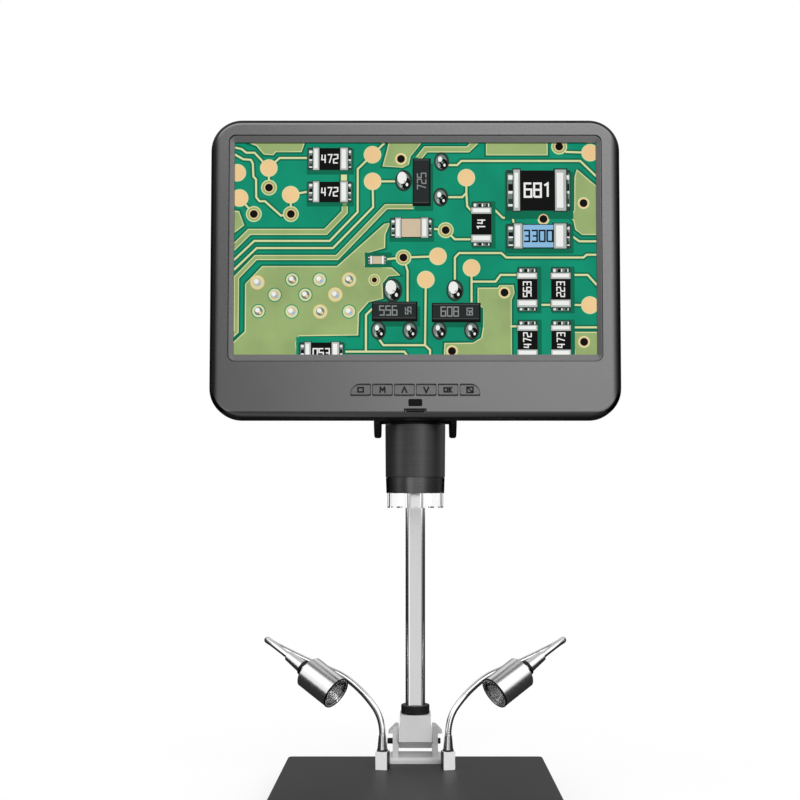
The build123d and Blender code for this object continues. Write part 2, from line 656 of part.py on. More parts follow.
def column():
    """Polished bar with a slot for the rack down its rear face."""
    foot = DECK_TOP + BLOCK_TOP - SOCKET_DEPTH
    top = DECK_TOP + COLUMN_TOP
    bar = rounded_bar(COLUMN_WIDTH, COLUMN_WIDTH, COLUMN_CORNER, foot, top)
    half = RACK_WIDTH / 2 + FIT
    rear = COLUMN_WIDTH / 2
    bar -= block(-half, half, rear - RACK_SLOT_DEPTH, rear + CUT_EXTRA,
                 DECK_TOP + RACK_START - FIT, DECK_TOP + RACK_END + FIT)
    return bar - rod_z(CAP_SPIGOT_RADIUS + FIT, top - CAP_SPIGOT_LENGTH - FIT, top + CUT_EXTRA)


def column_cap():
    """Plug in the column's top end."""
    top = DECK_TOP + COLUMN_TOP
    lid = rounded_bar(COLUMN_WIDTH, COLUMN_WIDTH, COLUMN_CORNER, top, top + CAP_THICKNESS)
    lid = fillet(lid.faces().sort_by(Axis.Z)[-1].edges(), COLLAR_EDGE)
    return lid + rod_z(CAP_SPIGOT_RADIUS, top - CAP_SPIGOT_LENGTH, top)


def column_rack():
    """Toothed strip; one tooth points at the pinion's axis when the carriage is at rest."""
    low = DECK_TOP + RACK_START
    high = DECK_TOP + RACK_END
    flank = math.tan(math.radians(PRESSURE_ANGLE))
    half_pitch = (GEAR_PITCH / 2 - GEAR_BACKLASH) / 2
    half_tip = half_pitch - GEAR_MODULE * flank
    half_root = half_pitch + GEAR_DEDENDUM * GEAR_MODULE * flank
    first = math.ceil((low + half_root - PINION_Z) / GEAR_PITCH)
    last = math.floor((high - half_root - PINION_Z) / GEAR_PITCH)
    slot_floor = COLUMN_WIDTH / 2 - RACK_SLOT_DEPTH
    points = [(slot_floor, low), (RACK_ROOT_Y, low)]
    for number in range(first, last + 1):
        z = PINION_Z + number * GEAR_PITCH
        points.append((RACK_ROOT_Y, z - half_root))
        points.append((RACK_TIP_Y, z - half_tip))
        points.append((RACK_TIP_Y, z + half_tip))
        points.append((RACK_ROOT_Y, z + half_root))
    points.append((RACK_ROOT_Y, high))
    points.append((slot_floor, high))
    profile = make_face(Polyline(*points, close=True))
    return extrude(Plane.YZ * profile, RACK_WIDTH / 2, both=True)


# ================================================================ focus carriage
def carriage_housing():
    """Block that slides on the column and holds the pinion."""
    body = block(-CARRIAGE_HALF_WIDTH, CARRIAGE_HALF_WIDTH, -CARRIAGE_FRONT, CARRIAGE_REAR,
                 CARRIAGE_BOTTOM, CARRIAGE_TOP)
    body = fillet(body.edges().filter_by(Axis.Z), CARRIAGE_EDGE)
    low = CARRIAGE_BOTTOM - CUT_EXTRA
    high = CARRIAGE_TOP + CUT_EXTRA
    bore = COLUMN_WIDTH + 2 * MOVING_GAP
    body -= rounded_bar(bore, bore, COLUMN_CORNER + MOVING_GAP, low, high)
    channel = RACK_WIDTH / 2 + MOVING_GAP
    body -= block(-channel, channel, 0, RACK_TIP_Y + MOVING_GAP, low, high)
    tip = PITCH_RADIUS + GEAR_MODULE + MOVING_GAP
    room = GEAR_WIDTH / 2 + MOVING_GAP
    body -= rod_x(tip, -room, room, PINION_Y, PINION_Z)
    reach = CARRIAGE_HALF_WIDTH + CUT_EXTRA
    body -= rod_x(SHAFT_RADIUS + FIT, -reach, reach, PINION_Y, PINION_Z)
    body -= rod_x(LOCK_SCREW_RADIUS + FIT, 0, reach, 0, PINION_Z + LOCK_RISE)
    for x, z in arm_screw_places():
        body -= rod_y(SCREW_RADIUS + FIT, -CARRIAGE_FRONT - CUT_EXTRA, -CARRIAGE_FRONT + CASE_SCREW_GRIP + FIT, x, z)
    return body


def focus_pinion():
    """Shaft with a small gear in mesh with the rack."""
    flank = math.tan(math.radians(PRESSURE_ANGLE))
    root = PITCH_RADIUS - GEAR_DEDENDUM * GEAR_MODULE
    tip = PITCH_RADIUS + GEAR_MODULE
    half_pitch = (GEAR_PITCH / 2 - GEAR_BACKLASH) / 2
    half_tip = half_pitch - GEAR_MODULE * flank
    half_root = half_pitch
    tooth = make_face(Polyline(
        (0, -half_root),
        (root, -half_root),
        (PITCH_RADIUS, -half_pitch),
        (tip, -half_tip),
        (tip, half_tip),
        (PITCH_RADIUS, half_pitch),
        (root, half_root),
        (0, half_root),
        close=True,
    ))
    gear = Circle(root)
    for number in range(PINION_TEETH):
        gear += Rot(0, 0, (number + 0.5) * 360 / PINION_TEETH) * tooth
    body = extrude(Plane.YZ * gear, GEAR_WIDTH / 2, both=True)
    body += rod_x(SHAFT_RADIUS, -SHAFT_END, SHAFT_END, 0, 0)
    return Pos(0, PINION_Y, PINION_Z) * body


def focus_knob():
    """Right-hand focus wheel: fluted rim, hub towards the housing, blind bore for the shaft."""
    outer = KNOB_INNER_X + KNOB_THICKNESS
    disc = rod_x(KNOB_RADIUS, KNOB_INNER_X, outer, 0, 0)
    disc = chamfer(disc.edges().filter_by(GeomType.CIRCLE), KNOB_CHAMFER)
    for number in range(KNOB_FLUTES):
        turn = Rot((number + 0.5) * 360 / KNOB_FLUTES, 0, 0)
        disc -= turn * rod_x(FLUTE_RADIUS, KNOB_INNER_X - CUT_EXTRA, outer + CUT_EXTRA,
                             KNOB_RADIUS + FLUTE_OFFSET, 0)
    disc += rod_x(KNOB_HUB_RADIUS, CARRIAGE_HALF_WIDTH + MOVING_GAP, KNOB_INNER_X + KNOB_CHAMFER, 0, 0)
    disc -= rod_x(SHAFT_RADIUS + FIT, 0, SHAFT_END + FIT, 0, 0)
    return Pos(0, PINION_Y, PINION_Z) * disc


def lock_knob():
    """Star knob on the screw that locks the carriage to the column's right-hand face."""
    start = CARRIAGE_HALF_WIDTH + MOVING_GAP
    end = start + LOCK_KNOB_LENGTH
    knob = rod_x(LOCK_KNOB_RADIUS, start, end, 0, 0)
    knob = chamfer(knob.edges().filter_by(GeomType.CIRCLE), KNOB_CHAMFER)
    for number in range(LOCK_LOBES):
        turn = Rot(number * 360 / LOCK_LOBES, 0, 0)
        knob -= turn * rod_x(LOCK_LOBE_RADIUS, start - CUT_EXTRA, end + CUT_EXTRA, LOCK_LOBE_OFFSET, 0)
    screw = rod_x(LOCK_SCREW_RADIUS, COLUMN_WIDTH / 2 + MOVING_GAP, start + CUT_EXTRA, 0, 0)
    return Pos(0, 0, PINION_Z + LOCK_RISE) * (knob + screw)


# ================================================================ arm and camera head
def arm_screw_places():
    """Positions (x, z) of the screws at both ends of the arm."""
    return [(-ARM_SCREW_X, ARM_MIDDLE + ARM_SCREW_Z), (ARM_SCREW_X, ARM_MIDDLE + ARM_SCREW_Z),
            (-ARM_SCREW_X, ARM_MIDDLE - ARM_SCREW_Z), (ARM_SCREW_X, ARM_MIDDLE - ARM_SCREW_Z)]


def arm_front():
    """Depth of the face where the arm meets the camera head's rear cover."""
    return HEAD_REAR + HEAD_COVER_THICKNESS


def support_arm():
    """Cast arm from the carriage to the camera head, a flange at each end."""
    front = arm_front()
    rear = -CARRIAGE_FRONT
    half = ARM_FLANGE_HALF
    arm = block(-half, half, front, front + ARM_FLANGE_THICKNESS, ARM_BOTTOM, ARM_TOP)
    arm += block(-half, half, rear - ARM_FLANGE_THICKNESS, rear, ARM_BOTTOM, ARM_TOP)
    arm = fillet(arm.edges().filter_by(Axis.Y), 2 * ARM_EDGE)
    beam = block(-ARM_BEAM_HALF, ARM_BEAM_HALF, front, rear,
                 ARM_MIDDLE - ARM_BEAM_HEIGHT / 2, ARM_MIDDLE + ARM_BEAM_HEIGHT / 2)
    arm += fillet(beam.edges().filter_by(Axis.Y), ARM_EDGE)
    for x, z in arm_screw_places():
        arm -= rod_y(SCREW_RADIUS + FIT, front - CUT_EXTRA, rear + CUT_EXTRA, x, z)
    return arm


def arm_screws():
    """Four screws into the camera head and four into the carriage."""
    length = ARM_FLANGE_THICKNESS + CASE_SCREW_GRIP
    screws = []
    for x, z in arm_screw_places():
        forward = Rot(90, 0, 0) * pan_screw(length)
        screws.append(Pos(x, arm_front() + ARM_FLANGE_THICKNESS, z) * forward)
        rearward = Rot(-90, 0, 0) * pan_screw(length)
        screws.append(Pos(x, -CARRIAGE_FRONT - ARM_FLANGE_THICKNESS, z) * rearward)
    return screws


def camera_head():
    """Casing on top of the barrel; its upper edge is the middle knuckle of the screen hinge."""
    front = OPTICAL_Y - HEAD_FRONT
    rim = BARREL_TOP + PLUG_CAP
    shoulder = HINGE_Z - HEAD_SHOULDER_DROP
    body = block(-HEAD_HALF_WIDTH, HEAD_HALF_WIDTH, front, HEAD_REAR, BARREL_TOP, shoulder)
    body += block(-HEAD_KNUCKLE_HALF, HEAD_KNUCKLE_HALF, front, HEAD_REAR, BARREL_TOP, HINGE_Z)
    body += block(-HEAD_KNUCKLE_HALF, HEAD_KNUCKLE_HALF, HINGE_Y, HEAD_REAR, BARREL_TOP, HINGE_Z + HINGE_KNUCKLE)
    body += rod_x(HINGE_KNUCKLE, -HEAD_KNUCKLE_HALF, HEAD_KNUCKLE_HALF, HINGE_Y, HINGE_Z)
    body += rod_z(BARREL_RADIUS - BARREL_RIM_ROUND, BARREL_TOP, rim, 0, OPTICAL_Y)
    body += rod_z(BARREL_BORE - FIT, BARREL_TOP - PLUG_DEPTH, rim, 0, OPTICAL_Y)
    side = HEAD_HALF_WIDTH - HEAD_WALL
    body -= block(-side, side, front + HEAD_WALL, HEAD_REAR + CUT_EXTRA,
                  BARREL_TOP + HEAD_FLOOR, BARREL_TOP + HEAD_CAVITY_TOP - HEAD_WALL)
    body -= rod_z(CABLE_HOLE_RADIUS, BARREL_TOP - PLUG_DEPTH - CUT_EXTRA, BARREL_TOP + HEAD_FLOOR + CUT_EXTRA,
                  0, OPTICAL_Y + CABLE_HOLE_RADIUS + HEAD_WALL)
    reach = HEAD_KNUCKLE_HALF + CUT_EXTRA
    return body - rod_x(HINGE_PIN_RADIUS + FIT, -reach, reach, HINGE_Y, HINGE_Z)


def camera_cover():
    """Rear plate of the camera head, with bosses for the arm's screws."""
    half = HEAD_HALF_WIDTH
    top = HINGE_Z - HEAD_SHOULDER_DROP
    plate = block(-half, half, HEAD_REAR, arm_front(), BARREL_TOP, top)
    for x, z in arm_screw_places():
        plate += rod_y(2 * SCREW_RADIUS, arm_front() - CASE_SCREW_GRIP - HEAD_WALL, HEAD_REAR + FIT, x, z)
        plate -= rod_y(SCREW_RADIUS + FIT, arm_front() - CASE_SCREW_GRIP - FIT, arm_front() + CUT_EXTRA, x, z)
    return plate


# ================================================================ camera barrel
def barrel_shell():
    """Slightly tapered tube with a floor that holds the lens cell."""
    body = cone_z(BARREL_RADIUS - BARREL_DRAFT, BARREL_RADIUS, BARREL_BOTTOM, BARREL_TOP)
    body = fillet(body.edges().sort_by(Axis.Z)[-1], BARREL_RIM_ROUND)
    body -= rod_z(BARREL_BORE, BARREL_BOTTOM + BARREL_FLOOR, BARREL_TOP + CUT_EXTRA)
    body -= rod_z(CELL_RADIUS + FIT, BARREL_BOTTOM - CUT_EXTRA, BARREL_BOTTOM + BARREL_FLOOR + CUT_EXTRA)
    return Pos(0, OPTICAL_Y, 0) * body


def lens_cell():
    """Tube that carries the objective below and the sensor board above."""
    low = BARREL_BOTTOM - CELL_BELOW
    high = BARREL_BOTTOM + CELL_ABOVE
    tube = rod_z(CELL_RADIUS, low, high)
    tube += rod_z(BARREL_BORE - FIT, BARREL_BOTTOM + BARREL_FLOOR, BARREL_BOTTOM + 2 * BARREL_FLOOR)
    tube -= rod_z(LENS_RADIUS + FIT, low - CUT_EXTRA, low + LENS_LEDGE + LENS_THICKNESS)
    tube -= rod_z(LENS_RADIUS - LENS_LEDGE, low, high - LENS_LEDGE)
    tube -= rod_z(CELL_BORE, low + 2 * LENS_THICKNESS + LENS_LEDGE, high + CUT_EXTRA)
    return Pos(0, OPTICAL_Y, 0) * tube


def objective_lens():
    """Front lens: a glass disc with a domed lower face."""
    low = BARREL_BOTTOM - CELL_BELOW + LENS_LEDGE
    glass = rod_z(LENS_RADIUS, low, low + LENS_THICKNESS)
    ball_radius = (LENS_RADIUS ** 2 + LENS_BULGE ** 2) / (2 * LENS_BULGE)
    ball = Pos(0, 0, low - LENS_BULGE + ball_radius) * Sphere(ball_radius)
    cap = ball & rod_z(LENS_RADIUS, low - LENS_BULGE - CUT_EXTRA, low)
    return Pos(0, OPTICAL_Y, 0) * (glass + cap)


def sensor_board():
    """Round board on the lens cell with the image sensor looking down the cell."""
    low = BARREL_BOTTOM + CELL_ABOVE
    board = rod_z(SENSOR_BOARD_RADIUS, low, low + BOARD_THICKNESS)
    half = SENSOR_SIZE / 2
    board += block(-half, half, -half, half, low - BOARD_THICKNESS, low)
    board += block(-half, half, -half, half, low + BOARD_THICKNESS, low + 2 * BOARD_THICKNESS)
    return Pos(0, OPTICAL_Y, 0) * board


def barrel_lens_ring():
    """Glossy ring below the barrel that turns on the lens cell; the hood seats in its groove."""
    body = cone_z(RING_RADIUS - RING_STEP, RING_RADIUS, RING_BOTTOM, RING_TOP)
    body -= rod_z(CELL_RADIUS + MOVING_GAP, RING_BOTTOM - CUT_EXTRA, RING_TOP + CUT_EXTRA)
    groove = rod_z(HOOD_RADIUS + FIT, RING_BOTTOM - CUT_EXTRA, RING_BOTTOM + HOOD_SEAT)
    groove -= rod_z(HOOD_RADIUS - HOOD_WALL - FIT, RING_BOTTOM - CUT_EXTRA, RING_BOTTOM + HOOD_SEAT)
    return Pos(0, OPTICAL_Y, 0) * (body - groove)


def clear_hood():
    """Clear tube below the lens, its lower rim notched."""
    low = RING_BOTTOM - HOOD_REACH
    tube = rod_z(HOOD_RADIUS, low, RING_BOTTOM + HOOD_SEAT)
    tube -= rod_z(HOOD_RADIUS - HOOD_WALL, low - CUT_EXTRA, RING_BOTTOM + HOOD_SEAT + CUT_EXTRA)
    for number in range(HOOD_NOTCHES):
        turn = Rot(0, 0, 90 + number * 360 / HOOD_NOTCHES)
        notch = block(HOOD_RADIUS - 2 * HOOD_WALL, HOOD_RADIUS + CUT_EXTRA,
                      -HOOD_NOTCH_WIDTH / 2, HOOD_NOTCH_WIDTH / 2, low - CUT_EXTRA, low + HOOD_NOTCH_HEIGHT)
        tube -= turn * notch
    return Pos(0, OPTICAL_Y, 0) * tube


# ================================================================ screen
def screen_outline(inset):
    """Rounded outline of the screen, drawn in from its edge by inset."""
    corner = max(SCREEN_CORNER - inset, WINDOW_CORNER)
    rect = RectangleRounded(SCREEN_WIDTH - 2 * inset, SCREEN_HEIGHT - 2 * inset, corner)
    return Pos(0, SCREEN_HEIGHT / 2) * rect


def window_outline(grow=0.0):
    """Outline of the opening in the bezel."""
    rect = RectangleRounded(WINDOW_WIDTH + 2 * grow, WINDOW_HEIGHT + 2 * grow, WINDOW_CORNER)
    return Pos(0, WINDOW_BOTTOM + WINDOW_HEIGHT / 2) * rect


def view_outline():
    """Outline of the visible display."""
    return Pos(0, WINDOW_BOTTOM + WINDOW_HEIGHT / 2) * Rectangle(VIEW_WIDTH, VIEW_HEIGHT)


def key_outline(number, side=0.0, end=0.0):
    """Outline of one key about its own middle, widened by a slot; the row's ends are rounded at the top."""
    width = BUTTON_WIDTH + 2 * side
    height = BUTTON_HEIGHT + 2 * end
    face = RectangleRounded(width, height, BUTTON_CORNER)
    last = len(BUTTON_NAMES) - 1
    if number not in (0, last):
        return face
    outward = -1 if number == 0 else 1
    radius = BUTTON_END_ROUND + end
    x = outward * width / 2
    z = height / 2
    patch = Pos(x - outward * radius / 2, z - radius / 2) * Rectangle(radius, radius)
    patch -= Pos(x - outward * radius, z - radius) * Circle(radius)
    return face - patch


def key_x(number):
    """Sideways place of one key."""
    return (number - (len(BUTTON_NAMES) - 1) / 2) * BUTTON_PITCH


def shell_screw_places():
    """Positions (x, z) of the screws that hold the rear shell to the panel."""
    middle = WINDOW_BOTTOM + WINDOW_HEIGHT / 2
    return [(x, middle + z) for x in (-SHELL_SCREW_X, SHELL_SCREW_X)
            for z in (-SHELL_SCREW_Z, SHELL_SCREW_Z)]


def board_left():
    """Left edge of the main board, so that its ports reach the right-hand side."""
    return shell_side(main_board_depth()) - BEZEL_SKIN - PORT_LIP - MAIN_BOARD_WIDTH


def main_board_depth():
    """Front face of the main board."""
    return PANEL_BACK + MAIN_BOARD_POST


def shell_side(depth):
    """Half width of the rear shell's outside at a given depth."""
    return SCREEN_WIDTH / 2 - (depth - BEZEL_DEPTH) * math.tan(math.radians(SHELL_DRAFT))


def board_posts():
    """Positions (x, z) of the posts between the panel and the main board."""
    inset = MAIN_BOARD_POST_INSET
    left = board_left()
    xs = (left + inset, left + MAIN_BOARD_WIDTH - inset - PORT_DEPTH)
    zs = (MAIN_BOARD_BOTTOM + inset, MAIN_BOARD_BOTTOM + MAIN_BOARD_HEIGHT - inset)
    return [(x, z) for x in xs for z in zs]


def ports():
    """The ports on the right-hand side: (middle above the board's lower edge, width)."""
    return [(VIDEO_PORT_UP, VIDEO_PORT_WIDTH), (DATA_PORT_UP, DATA_PORT_WIDTH), (POWER_PORT_UP, POWER_PORT_WIDTH)]


def button_board_posts():
    """Positions (x, z) of the posts behind the bezel that hold the button board."""
    reach = key_x(len(BUTTON_NAMES) - 1) + BUTTON_WIDTH / 2 + 2 * BUTTON_BOARD_POST_RADIUS
    return [(-reach, BUTTON_Z), (reach, BUTTON_Z)]


def monitor_bezel():
    """Front casing: skin, rim, window, key slots, sensor window and card slot."""
    body = slab(screen_outline(0), 0, BEZEL_DEPTH)
    body = fillet(body.faces().sort_by(Axis.Y)[0].edges(), BEZEL_EDGE)
    body -= slab(screen_outline(BEZEL_SKIN), BEZEL_SKIN, BEZEL_DEPTH + CUT_EXTRA)
    body -= slab(window_outline(), -CUT_EXTRA, BEZEL_DEPTH)
    for x, z in button_board_posts():
        body += rod_y(BUTTON_BOARD_POST_RADIUS, BEZEL_SKIN, BUTTON_BOARD_FRONT, x, z)
    for number in range(len(BUTTON_NAMES)):
        slot = Pos(key_x(number), 0) * key_outline(number, BUTTON_GAP, BUTTON_GROOVE)
        body -= slab(slot, -CUT_EXTRA, BEZEL_SKIN + CUT_EXTRA, BUTTON_Z)
    body -= slab(RectangleRounded(IR_WIDTH + 2 * SEAT_GAP, IR_HEIGHT + 2 * SEAT_GAP, IR_CORNER),
                 -CUT_EXTRA, BEZEL_SKIN + CUT_EXTRA, IR_Z)
    body -= slab(Pos(CARD_X, 0) * Rectangle(SLOT_WIDTH, SLOT_HEIGHT), -CUT_EXTRA, 2 * BEZEL_SKIN, CARD_Z)
    return SCREEN_PLACE * body


def monitor_rear_shell():
    """Rear casing: drafted tray with a lip, vents, screw wells and the hinge's outer lugs."""
    body = extrude(Plane(origin=(0, BEZEL_DEPTH, 0), x_dir=(1, 0, 0), z_dir=(0, 1, 0)) * flipped(screen_outline(0)),
                   SHELL_DEPTH, taper=SHELL_DRAFT)
    body = fillet(body.faces().sort_by(Axis.Y)[-1].edges(), SHELL_EDGE)
    hollow = Plane(origin=(0, BEZEL_DEPTH, 0), x_dir=(1, 0, 0), z_dir=(0, 1, 0)) * flipped(screen_outline(BEZEL_SKIN))
    body -= extrude(hollow, SHELL_DEPTH - BEZEL_SKIN, taper=SHELL_DRAFT)
    lip_outer = BEZEL_SKIN + SEAT_GAP
    lip = slab(screen_outline(lip_outer), BEZEL_DEPTH - SHELL_LIP_DEPTH, BEZEL_DEPTH + SHELL_LIP)
    lip -= slab(screen_outline(lip_outer + SHELL_LIP), 0, SCREEN_REAR)
    body += lip
    inner_rear = SCREEN_REAR - BEZEL_SKIN
    for x, z in shell_screw_places():
        body += rod_y(SHELL_SCREW_BOSS, PANEL_BACK + PANEL_POST_LENGTH, inner_rear + SHELL_LIP, x, z)
        well = PANEL_BACK + PANEL_POST_LENGTH + BEZEL_SKIN
        body -= rod_y(SCREW_HEAD_RADIUS + SEAT_GAP, well, SCREEN_REAR + CUT_EXTRA, x, z)
        body -= rod_y(SCREW_RADIUS + FIT, PANEL_BACK, SCREEN_REAR, x, z)
    for number in range(VENT_COUNT):
        x = (number - (VENT_COUNT - 1) / 2) * VENT_PITCH
        body -= block(x - VENT_WIDTH / 2, x + VENT_WIDTH / 2, inner_rear - CUT_EXTRA, SCREEN_REAR + CUT_EXTRA,
                      VENT_BOTTOM, VENT_BOTTOM + VENT_HEIGHT)
    for side in both_sides(hinge_lug()):
        body += side
    depth = main_board_depth() + BOARD_THICKNESS
    for up, width in ports():
        z = MAIN_BOARD_BOTTOM + up
        body -= block(shell_side(depth) - 2 * BEZEL_SKIN, SCREEN_WIDTH, depth - SEAT_GAP,
                      depth + PORT_HEIGHT + SEAT_GAP, z - width / 2 - SEAT_GAP, z + width / 2 + SEAT_GAP)
    return SCREEN_PLACE * body


def flipped(sketch):
    """A sketch mirrored top to bottom, for the plane that looks along +Y."""
    return mirror(sketch, Plane.XZ)


def hinge_lug():
    """Outer lug of the screen hinge on the right-hand side, bored for the pin."""
    inner = HEAD_KNUCKLE_HALF + MOVING_GAP
    outer = inner + HINGE_LUG_WIDTH
    lug = rod_x(HINGE_LUG, inner, outer, HINGE_DEPTH, HINGE_UP)
    lug += block(inner, outer, SCREEN_REAR - SHELL_LIP, HINGE_DEPTH, HINGE_UP - HINGE_LUG, HINGE_UP + HINGE_LUG)
    return lug - rod_x(HINGE_PIN_RADIUS + FIT, inner - CUT_EXTRA, outer + CUT_EXTRA, HINGE_DEPTH, HINGE_UP)


def screen_hinge_pin():
    """Pin through the camera head's knuckle and the two lugs."""
    reach = HEAD_KNUCKLE_HALF + MOVING_GAP + HINGE_LUG_WIDTH
    return rod_x(HINGE_PIN_RADIUS, -reach, reach, HINGE_Y, HINGE_Z)


def screen_frame():
    """Sloping frame between the bezel's window and the display."""
    middle = WINDOW_BOTTOM + WINDOW_HEIGHT / 2
    outer = slab(window_outline(-FRAME_LINE), FRAME_SETBACK, PANEL_FRONT)
    flange = slab(window_outline(FRAME_FLANGE), BEZEL_SKIN, PANEL_FRONT)
    ring = outer + flange
    rim = FRAME_LINE + FRAME_RIM
    wide = RectangleRounded(WINDOW_WIDTH - 2 * rim, WINDOW_HEIGHT - 2 * rim, WINDOW_CORNER - rim)
    narrow = RectangleRounded(VIEW_WIDTH, VIEW_HEIGHT, FRAME_CORNER)
    front = Plane.XZ * (Pos(0, middle) * wide)
    back = Plane.XZ * (Pos(0, middle) * narrow)
    slope = loft([Pos(0, FRAME_SETBACK, 0) * front, Pos(0, FRAME_SETBACK + FRAME_SLOPE, 0) * back])
    ring -= slope
    ring -= slab(view_outline(), FRAME_SETBACK, PANEL_FRONT + CUT_EXTRA)
    return SCREEN_PLACE * ring


def display_panel():
    """Display module with the posts that carry the main board and the rear shell."""
    middle = WINDOW_BOTTOM + WINDOW_HEIGHT / 2
    body = slab(Rectangle(PANEL_WIDTH, PANEL_HEIGHT), PANEL_FRONT, PANEL_BACK, middle)
    for x, z in shell_screw_places():
        body += rod_y(STANDOFF_RADIUS + SCREW_RADIUS, PANEL_BACK, PANEL_BACK + PANEL_POST_LENGTH, x, z)
        body -= rod_y(SCREW_RADIUS + FIT, PANEL_BACK + SCREW_RADIUS, PANEL_BACK + PANEL_POST_LENGTH + CUT_EXTRA, x, z)
    for x, z in board_posts():
        body += rod_y(STANDOFF_RADIUS, PANEL_BACK, PANEL_BACK + MAIN_BOARD_POST, x, z)
    return SCREEN_PLACE * body


def main_board():
    """Main board with processor, memory, shield can and the side ports' sockets behind it."""
    front = main_board_depth()
    rear = front + BOARD_THICKNESS
    left = board_left()
    low = MAIN_BOARD_BOTTOM
    board = block(left, left + MAIN_BOARD_WIDTH - SEAT_GAP, front, rear, low, low + MAIN_BOARD_HEIGHT)
    for x, z in shell_screw_places():
        board -= rod_y(SHELL_SCREW_BOSS + MOVING_GAP, front - CUT_EXTRA, rear + CUT_EXTRA, x, z)
    chip = CHIP_SIZE
    processor = left + MAIN_BOARD_POST_INSET + 2 * chip
    memory = processor + 3 * chip
    board += block(processor, processor + 2 * chip, rear, rear + BOARD_THICKNESS, low + chip, low + 3 * chip)
    board += block(memory, memory + chip, rear, rear + BOARD_THICKNESS / 2, low + chip, low + 3 * chip)
    return SCREEN_PLACE * board


def side_ports():
    """Metal sockets on the main board, their mouths in the rear shell's right-hand side."""
    rear = main_board_depth() + BOARD_THICKNESS
    mouth = board_left() + MAIN_BOARD_WIDTH
    shells = []
    for up, width in ports():
        z = MAIN_BOARD_BOTTOM + up
        shell = block(mouth - PORT_DEPTH, mouth, rear, rear + PORT_HEIGHT, z - width / 2, z + width / 2)
        wall = PORT_LIP
        shell -= block(mouth - PORT_DEPTH + BEZEL_SKIN, mouth + CUT_EXTRA, rear + wall, rear + PORT_HEIGHT - wall,
                       z - width / 2 + wall, z + width / 2 - wall)
        shells.append(SCREEN_PLACE * shell)
    return shells


def monitor_screws():
    """Four screws from the rear shell's wells into the panel's posts."""
    floor = PANEL_BACK + PANEL_POST_LENGTH + BEZEL_SKIN
    length = BEZEL_SKIN + PANEL_POST_LENGTH - SCREW_RADIUS
    screw = Rot(90, 0, 0) * pan_screw(length - FIT)
    return [SCREEN_PLACE * Pos(x, floor, z) * screw for x, z in shell_screw_places()]


def button(number):
    """One key: cap in its slot, retaining flange behind the skin and a stem to its switch."""
    cap = slab(key_outline(number), -BUTTON_PROUD, BUTTON_FLANGE_FRONT)
    flange_height = BUTTON_HEIGHT + 2 * (BUTTON_GROOVE + BUTTON_FLANGE)
    flange = slab(Rectangle(BUTTON_WIDTH, flange_height), BUTTON_FLANGE_FRONT,
                  BUTTON_FLANGE_FRONT + BUTTON_FLANGE_THICKNESS)
    stem = rod_y(BUTTON_STEM_RADIUS, BUTTON_FLANGE_FRONT, STEM_END, 0, 0)
    return SCREEN_PLACE * Pos(key_x(number), 0, BUTTON_Z) * (cap + flange + stem)


def button_board():
    """Long board with one switch behind each key and the infrared receiver."""
    reach = key_x(len(BUTTON_NAMES) - 1) + BUTTON_WIDTH / 2 + 3 * BUTTON_BOARD_POST_RADIUS
    half = SWITCH_SIZE / 2
    board = block(-reach, reach, BUTTON_BOARD_FRONT, BUTTON_BOARD_FRONT + BOARD_THICKNESS,
                  IR_Z - half - BUTTON_BOARD_MARGIN, BUTTON_Z + BUTTON_HEIGHT / 2)
    for number in range(len(BUTTON_NAMES)):
        x = key_x(number)
        board += block(x - half, x + half, SWITCH_TOP, BUTTON_BOARD_FRONT, BUTTON_Z - half, BUTTON_Z + half)
    board += block(-half, half, BUTTON_BOARD_FRONT - SWITCH_HEIGHT, BUTTON_BOARD_FRONT, IR_Z - half, IR_Z + half)
    return SCREEN_PLACE * board


def ir_window():
    """Dark window for the remote control's receiver, held by a rim behind the skin."""
    plug = slab(RectangleRounded(IR_WIDTH, IR_HEIGHT, IR_CORNER), 0, BEZEL_SKIN, IR_Z)
    rim = slab(RectangleRounded(IR_WIDTH + IR_RIM, IR_HEIGHT + IR_RIM, IR_CORNER), BEZEL_SKIN,
               BEZEL_SKIN + IR_RIM, IR_Z)
    return SCREEN_PLACE * (plug + rim)


def card_socket():
    """Thin metal sleeve behind the card slot, open to the front."""
    wall = SOCKET_WALL
    room_w = CARD_WIDTH / 2 + MOVING_GAP
    room_h = CARD_THICKNESS / 2 + MOVING_GAP
    front = 2 * BEZEL_SKIN
    rear = front + SOCKET_LENGTH
    sleeve = block(CARD_X - room_w - wall, CARD_X + room_w + wall, front, rear,
                   CARD_Z - room_h - wall, CARD_Z + room_h + wall)
    sleeve -= block(CARD_X - room_w, CARD_X + room_w, front - CUT_EXTRA, rear - wall,
                    CARD_Z - room_h, CARD_Z + room_h)
    foot_rear = BEZEL_DEPTH - SHELL_LIP_DEPTH - MOVING_GAP
    foot = block(CARD_X - room_w, CARD_X + room_w, front, foot_rear, BEZEL_SKIN, CARD_Z - room_h - wall)
    return SCREEN_PLACE * (sleeve + foot)


def memory_card():
    """Small memory card in the slot."""
    half = CARD_WIDTH / 2
    body = block(CARD_X - half, CARD_X + half, CARD_SETBACK, CARD_SETBACK + CARD_LENGTH,
                 CARD_Z - CARD_THICKNESS / 2, CARD_Z + CARD_THICKNESS / 2)
    notch = BUTTON_CORNER
    body -= block(CARD_X + half - notch, CARD_X + half + CUT_EXTRA, CARD_SETBACK + CARD_LENGTH / 2,
                  CARD_SETBACK + CARD_LENGTH + CUT_EXTRA, CARD_Z - CARD_THICKNESS, CARD_Z + CARD_THICKNESS)
    return SCREEN_PLACE * body


